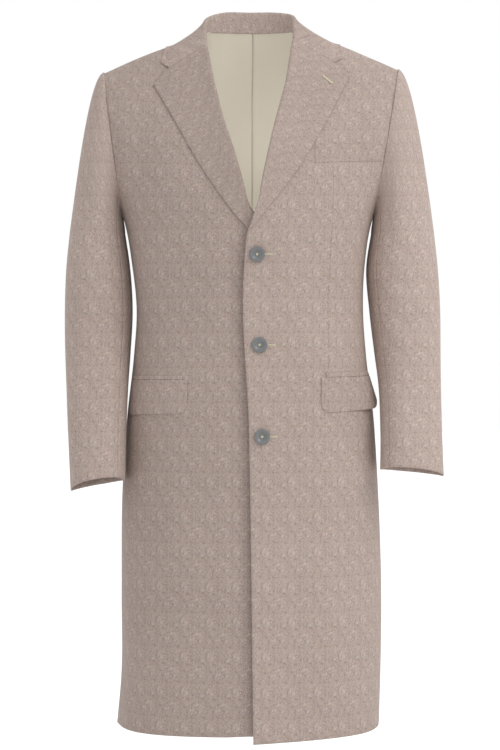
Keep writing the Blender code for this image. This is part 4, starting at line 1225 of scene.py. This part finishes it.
# Sides and rings of a strand, and its width, height and distance from the next in thread radii
STRAND_SIDES, STRAND_RINGS = 10, 12
STRAND_WIDTH, STRAND_HEIGHT, STRAND_LANE = 1.05, 1.3, 1.7
THREAD_CREAM = (0.740, 0.690, 0.530)
THREAD_SHADOW = (0.78, 0.76, 0.72)
THREAD_PLY = 1400.0
THREAD_TWIST = {"Strength": 0.3, "Distance": 0.0002}
THREAD_FINISH = {"Roughness": 0.75, "Sheen Weight": 0.15}


def pick(*pieces):
    """Select these pieces alone, the first of them active. With none, everything is deselected."""
    bpy.ops.object.select_all(action="DESELECT")
    for piece in pieces:
        piece.select_set(True)
    if pieces:
        bpy.context.view_layer.objects.active = pieces[0]


def button_horn():
    """Polished grey with faint cloudy streaks."""
    material, tree, disc = new_material("button_grey")
    place = add_node(tree, "TexCoord").outputs["Object"]
    streak = add_node(tree, "TexNoise", {"Vector": place, **BUTTON_STREAK}).outputs["Fac"]
    gloss = add_node(tree, "MapRange", {"Value": streak, **BUTTON_GLOSS}).outputs["Result"]
    tone = mix(tree, streak, BUTTON_GREY, BUTTON_PALE)
    set_sockets(tree, disc, {"Base Color": tone, "Roughness": gloss, **BUTTON_FINISH})
    return material


def thread_cream():
    """Twisted cotton thread with a fine, uneven ply."""
    material, tree, strand = new_material("thread_cream")
    place = add_node(tree, "TexCoord").outputs["Object"]
    ply = add_node(tree, "TexNoise", {"Vector": place, "Scale": THREAD_PLY}).outputs["Fac"]
    twist = add_node(tree, "Bump", {"Height": ply, **THREAD_TWIST}).outputs["Normal"]
    shadow = [colour * share for colour, share in zip(THREAD_CREAM, THREAD_SHADOW)]
    tone = mix(tree, ply, shadow, THREAD_CREAM)
    set_sockets(tree, strand, {"Base Color": tone, "Normal": twist, **THREAD_FINISH})
    return material


def seat_on_front(across, height):
    """Placing that stands a piece made flat about the origin on the wearer's left front."""
    point, facing = front_points("left", np.array(across), np.array(height))
    turn = Vector(facing).to_track_quat("Z", "Y").to_matrix().to_4x4()
    return Matrix.Translation(Vector(point + facing * BUTTON_STANDOFF)) @ turn


def laid_copy(pattern, name, place):
    """A copy of a piece that was modelled at the origin, with its own mesh, moved to its place."""
    mesh = pattern.data.copy()
    mesh.transform(place)
    return put_in_scene(name, mesh)


def joined(pieces, name):
    pick(*pieces)
    bpy.ops.object.join()
    bpy.context.object.name = name
    return bpy.context.object


# One button, face up on the origin
pick()
bpy.ops.mesh.primitive_cylinder_add(
    vertices=BUTTON_SIDES, radius=BUTTON_RADIUS, depth=BUTTON_THICK, location=(0, 0, BUTTON_THICK / 2)
)
button_pattern = bpy.context.object
pick(button_pattern)
bpy.ops.object.transform_apply(location=True, rotation=True, scale=True)
bpy.ops.object.mode_set(mode="EDIT")
bpy.ops.mesh.select_mode(type="FACE")
for faces_up, steps in ((1, (BUTTON_RIM, BUTTON_DISH, BUTTON_BOWL)), (-1, (BUTTON_BACK,))):
    bpy.ops.object.mode_set(mode="OBJECT")
    for face in button_pattern.data.polygons:
        face.select = faces_up * face.normal.z > BUTTON_FLAT
    bpy.ops.object.mode_set(mode="EDIT")
    for inset, sink in steps:
        bpy.ops.mesh.inset(thickness=inset, depth=0.0)
        bpy.ops.transform.translate(value=(0, 0, sink))
bpy.ops.object.mode_set(mode="OBJECT")
soften = button_pattern.modifiers.new("soften", "BEVEL")
soften.width = BUTTON_SOFTNESS
soften.segments = BUTTON_SOFTNESS_STEPS
soften.limit_method = "ANGLE"
soften.angle_limit = BUTTON_SOFTNESS_ANGLE
bpy.ops.object.modifier_apply(modifier="soften")
for quarter in range(4):
    angle = math.pi / 4 + math.pi / 2 * quarter
    pick()
    bpy.ops.mesh.primitive_cylinder_add(
        vertices=HOLE_SIDES, radius=HOLE_RADIUS, depth=4 * BUTTON_THICK,
        location=(HOLE_SPACING * math.cos(angle), HOLE_SPACING * math.sin(angle), BUTTON_THICK / 2),
    )
    drill = bpy.context.object
    pick(button_pattern)
    bore = button_pattern.modifiers.new("bore", "BOOLEAN")
    bore.operation = "DIFFERENCE"
    bore.solver = "EXACT"
    bore.object = drill
    bpy.ops.object.modifier_apply(modifier="bore")
    bpy.data.objects.remove(drill, do_unlink=True)
button_pattern.data.materials.clear()
button_pattern.data.materials.append(button_horn())
pick(button_pattern)
bpy.ops.object.shade_smooth_by_angle(angle=BUTTON_SMOOTH_ANGLE)

# One strand of thread, and the two crossed rows of strands that hold a button
cream = thread_cream()
pick()
bpy.ops.mesh.primitive_uv_sphere_add(segments=STRAND_SIDES, ring_count=STRAND_RINGS, radius=1.0)
strand_pattern = bpy.context.object
strand_pattern.data.materials.append(cream)
bpy.ops.object.shade_smooth()
strand_shape = Matrix.Diagonal((
    THREAD_RADIUS * STRAND_WIDTH, HOLE_SPACING + THREAD_RADIUS, THREAD_RADIUS * STRAND_HEIGHT, 1.0,
))
dish_foot = BUTTON_THICK + BUTTON_RIM[1] + BUTTON_DISH[1] + BUTTON_BOWL[1]
strands = []
for cross in range(2):
    for lane in (-1, 0, 1):
        off_middle = lane * THREAD_RADIUS * STRAND_LANE
        lay = Matrix.Translation((off_middle, 0.0, dish_foot + THREAD_LIFT * (1 + cross)))
        turn = Matrix.Rotation(math.pi / 4 + math.pi / 2 * cross, 4, "Z")
        strands.append(laid_copy(strand_pattern, "strand", turn @ lay @ strand_shape))
thread_pattern = joined(strands, "thread_pattern")

for number, (across, height) in enumerate(BUTTONS, start=1):
    seat = seat_on_front(across, height)
    button = laid_copy(button_pattern, "button_disc_" + str(number), seat)
    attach(button, "root")
    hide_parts("button_" + str(number))
    thread = laid_copy(thread_pattern, "button_thread_" + str(number), seat)
    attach(thread, "root")
bpy.data.objects.remove(button_pattern, do_unlink=True)
bpy.data.objects.remove(thread_pattern, do_unlink=True)


# Buttonholes: worked in cream thread, one beside each button and one slanted on the wearer's left lapel.
# Each is a row of close stitches laid across the slit.
STITCH_WIDTH = 0.00085
STITCH_HEIGHT = 0.00055
STITCH_OVERLAP = 0.62
STITCH_REST = 0.0002
# Both ends of a front buttonhole from the middle of its button, its height above it, and its width
HOLE_ENDS = (0.0105, 0.0238)
HOLE_RAISE = 0.0002
HOLE_WIDTH = 0.0034
# Across and height of both ends of the lapel's buttonhole, and its width
LAPEL_HOLE = ((0.1153, -0.0352), (0.1288, -0.0478), 0.0044)
LAPEL_HOLE_SHARE = 0.6
LAPEL_STITCH_REST = 0.0006


def worked_hole(name, start, end, width, lift):
    """Close stitches laid across a slit between two places over the wearer's left front."""
    (start_x, start_z), (end_x, end_z) = start, end
    slit = unit(np.array([end_x - start_x, 0.0, end_z - start_z]))
    across = np.array([-slit[2], 0.0, slit[0]])
    count = round(math.hypot(end_x - start_x, end_z - start_z) / STITCH_WIDTH)
    x, z = np.linspace(start_x, end_x, count), np.linspace(start_z, end_z, count)
    points, facings = front_points("left", x, z)
    shape = Matrix.Diagonal((STITCH_WIDTH * STITCH_OVERLAP, width / 2, STITCH_HEIGHT, 1.0))
    stitches = []
    for place, facing in zip(points + facings * lift, facings):
        side_way = unit(across - facing * np.dot(across, facing))
        long_way = np.cross(side_way, facing)
        turn = Matrix((long_way, side_way, facing)).transposed().to_4x4()
        stitches.append(laid_copy(strand_pattern, "stitch", Matrix.Translation(Vector(place)) @ turn @ shape))
    bar = joined(stitches, name)
    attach(bar, "root")


for number, (across, height) in enumerate(BUTTONS, start=1):
    start, end = ((across + reach, height + HOLE_RAISE) for reach in HOLE_ENDS)
    worked_hole("buttonhole_" + str(number), start, end, HOLE_WIDTH, STITCH_REST)
lapel_top = float(lapel_rise(LAPEL_HOLE_SHARE)) + LAPEL_THICK / 2
worked_hole("lapel_buttonhole", *LAPEL_HOLE, lapel_top + LAPEL_STITCH_REST)
bpy.data.objects.remove(strand_pattern, do_unlink=True)


# Studio: a plain pale floor, well below the hem as under a wearer, even white surroundings, and one large
# soft light high on the viewer's right. Two small lamps hung inside the fronts light the lining.
FLOOR_HEIGHT = -1.50
FLOOR_SIZE = 60.0
FLOOR_FINISH = {"Base Color": (0.93, 0.93, 0.93), "Roughness": 0.9, "Emission Color": (1.0, 1.0, 1.0)}
FLOOR_GLOW = 0.45
# Strength of the surroundings as a light, and as they are seen
SURROUND = {"To Min": 0.79, "To Max": 1.0}
pick()
bpy.ops.mesh.primitive_plane_add(size=FLOOR_SIZE, location=(0.0, 0.0, FLOOR_HEIGHT))
floor = bpy.context.object
floor.name = "studio_floor"
floor_paint, tree, pale = new_material("floor_pale")
seen = add_node(tree, "LightPath").outputs["Is Camera Ray"]
set_sockets(tree, pale, {"Emission Strength": calculate(tree, "MULTIPLY", seen, FLOOR_GLOW), **FLOOR_FINISH})
floor.data.materials.append(floor_paint)

surround = bpy.data.worlds.new("studio_white")
surround.use_nodes = True
tree = surround.node_tree
seen = add_node(tree, "LightPath").outputs["Is Camera Ray"]
strength = add_node(tree, "MapRange", {"Value": seen, **SURROUND}).outputs["Result"]
set_sockets(tree, tree.nodes["Background"], {"Strength": strength, "Color": (1.0, 1.0, 1.0)})
bpy.context.scene.world = surround
bpy.context.scene.view_settings.view_transform = "Standard"

# Each lamp's name, place, aim, size and power
STUDIO_LIGHTS = (
    ("key", (2.6, -1.9, 2.0), (0.0, 0.0, -0.40), 1.8, 42.0),
    ("inside_right", (-0.10, -0.055, -0.16), (0.0, 0.10, -0.12), 0.06, 0.10),
    ("inside_left", (0.105, -0.055, -0.16), (0.0, 0.10, -0.12), 0.06, 0.14),
)
for name, place, aim, size, power in STUDIO_LIGHTS:
    lamp = bpy.data.lights.new("studio_" + name, "AREA")
    lamp.size = size
    lamp.energy = power
    lamp_stand = put_in_scene("studio_" + name, lamp)
    lamp_stand.location = place
    lamp_stand.rotation_euler = (Vector(aim) - Vector(place)).to_track_quat("-Z", "Y").to_euler()
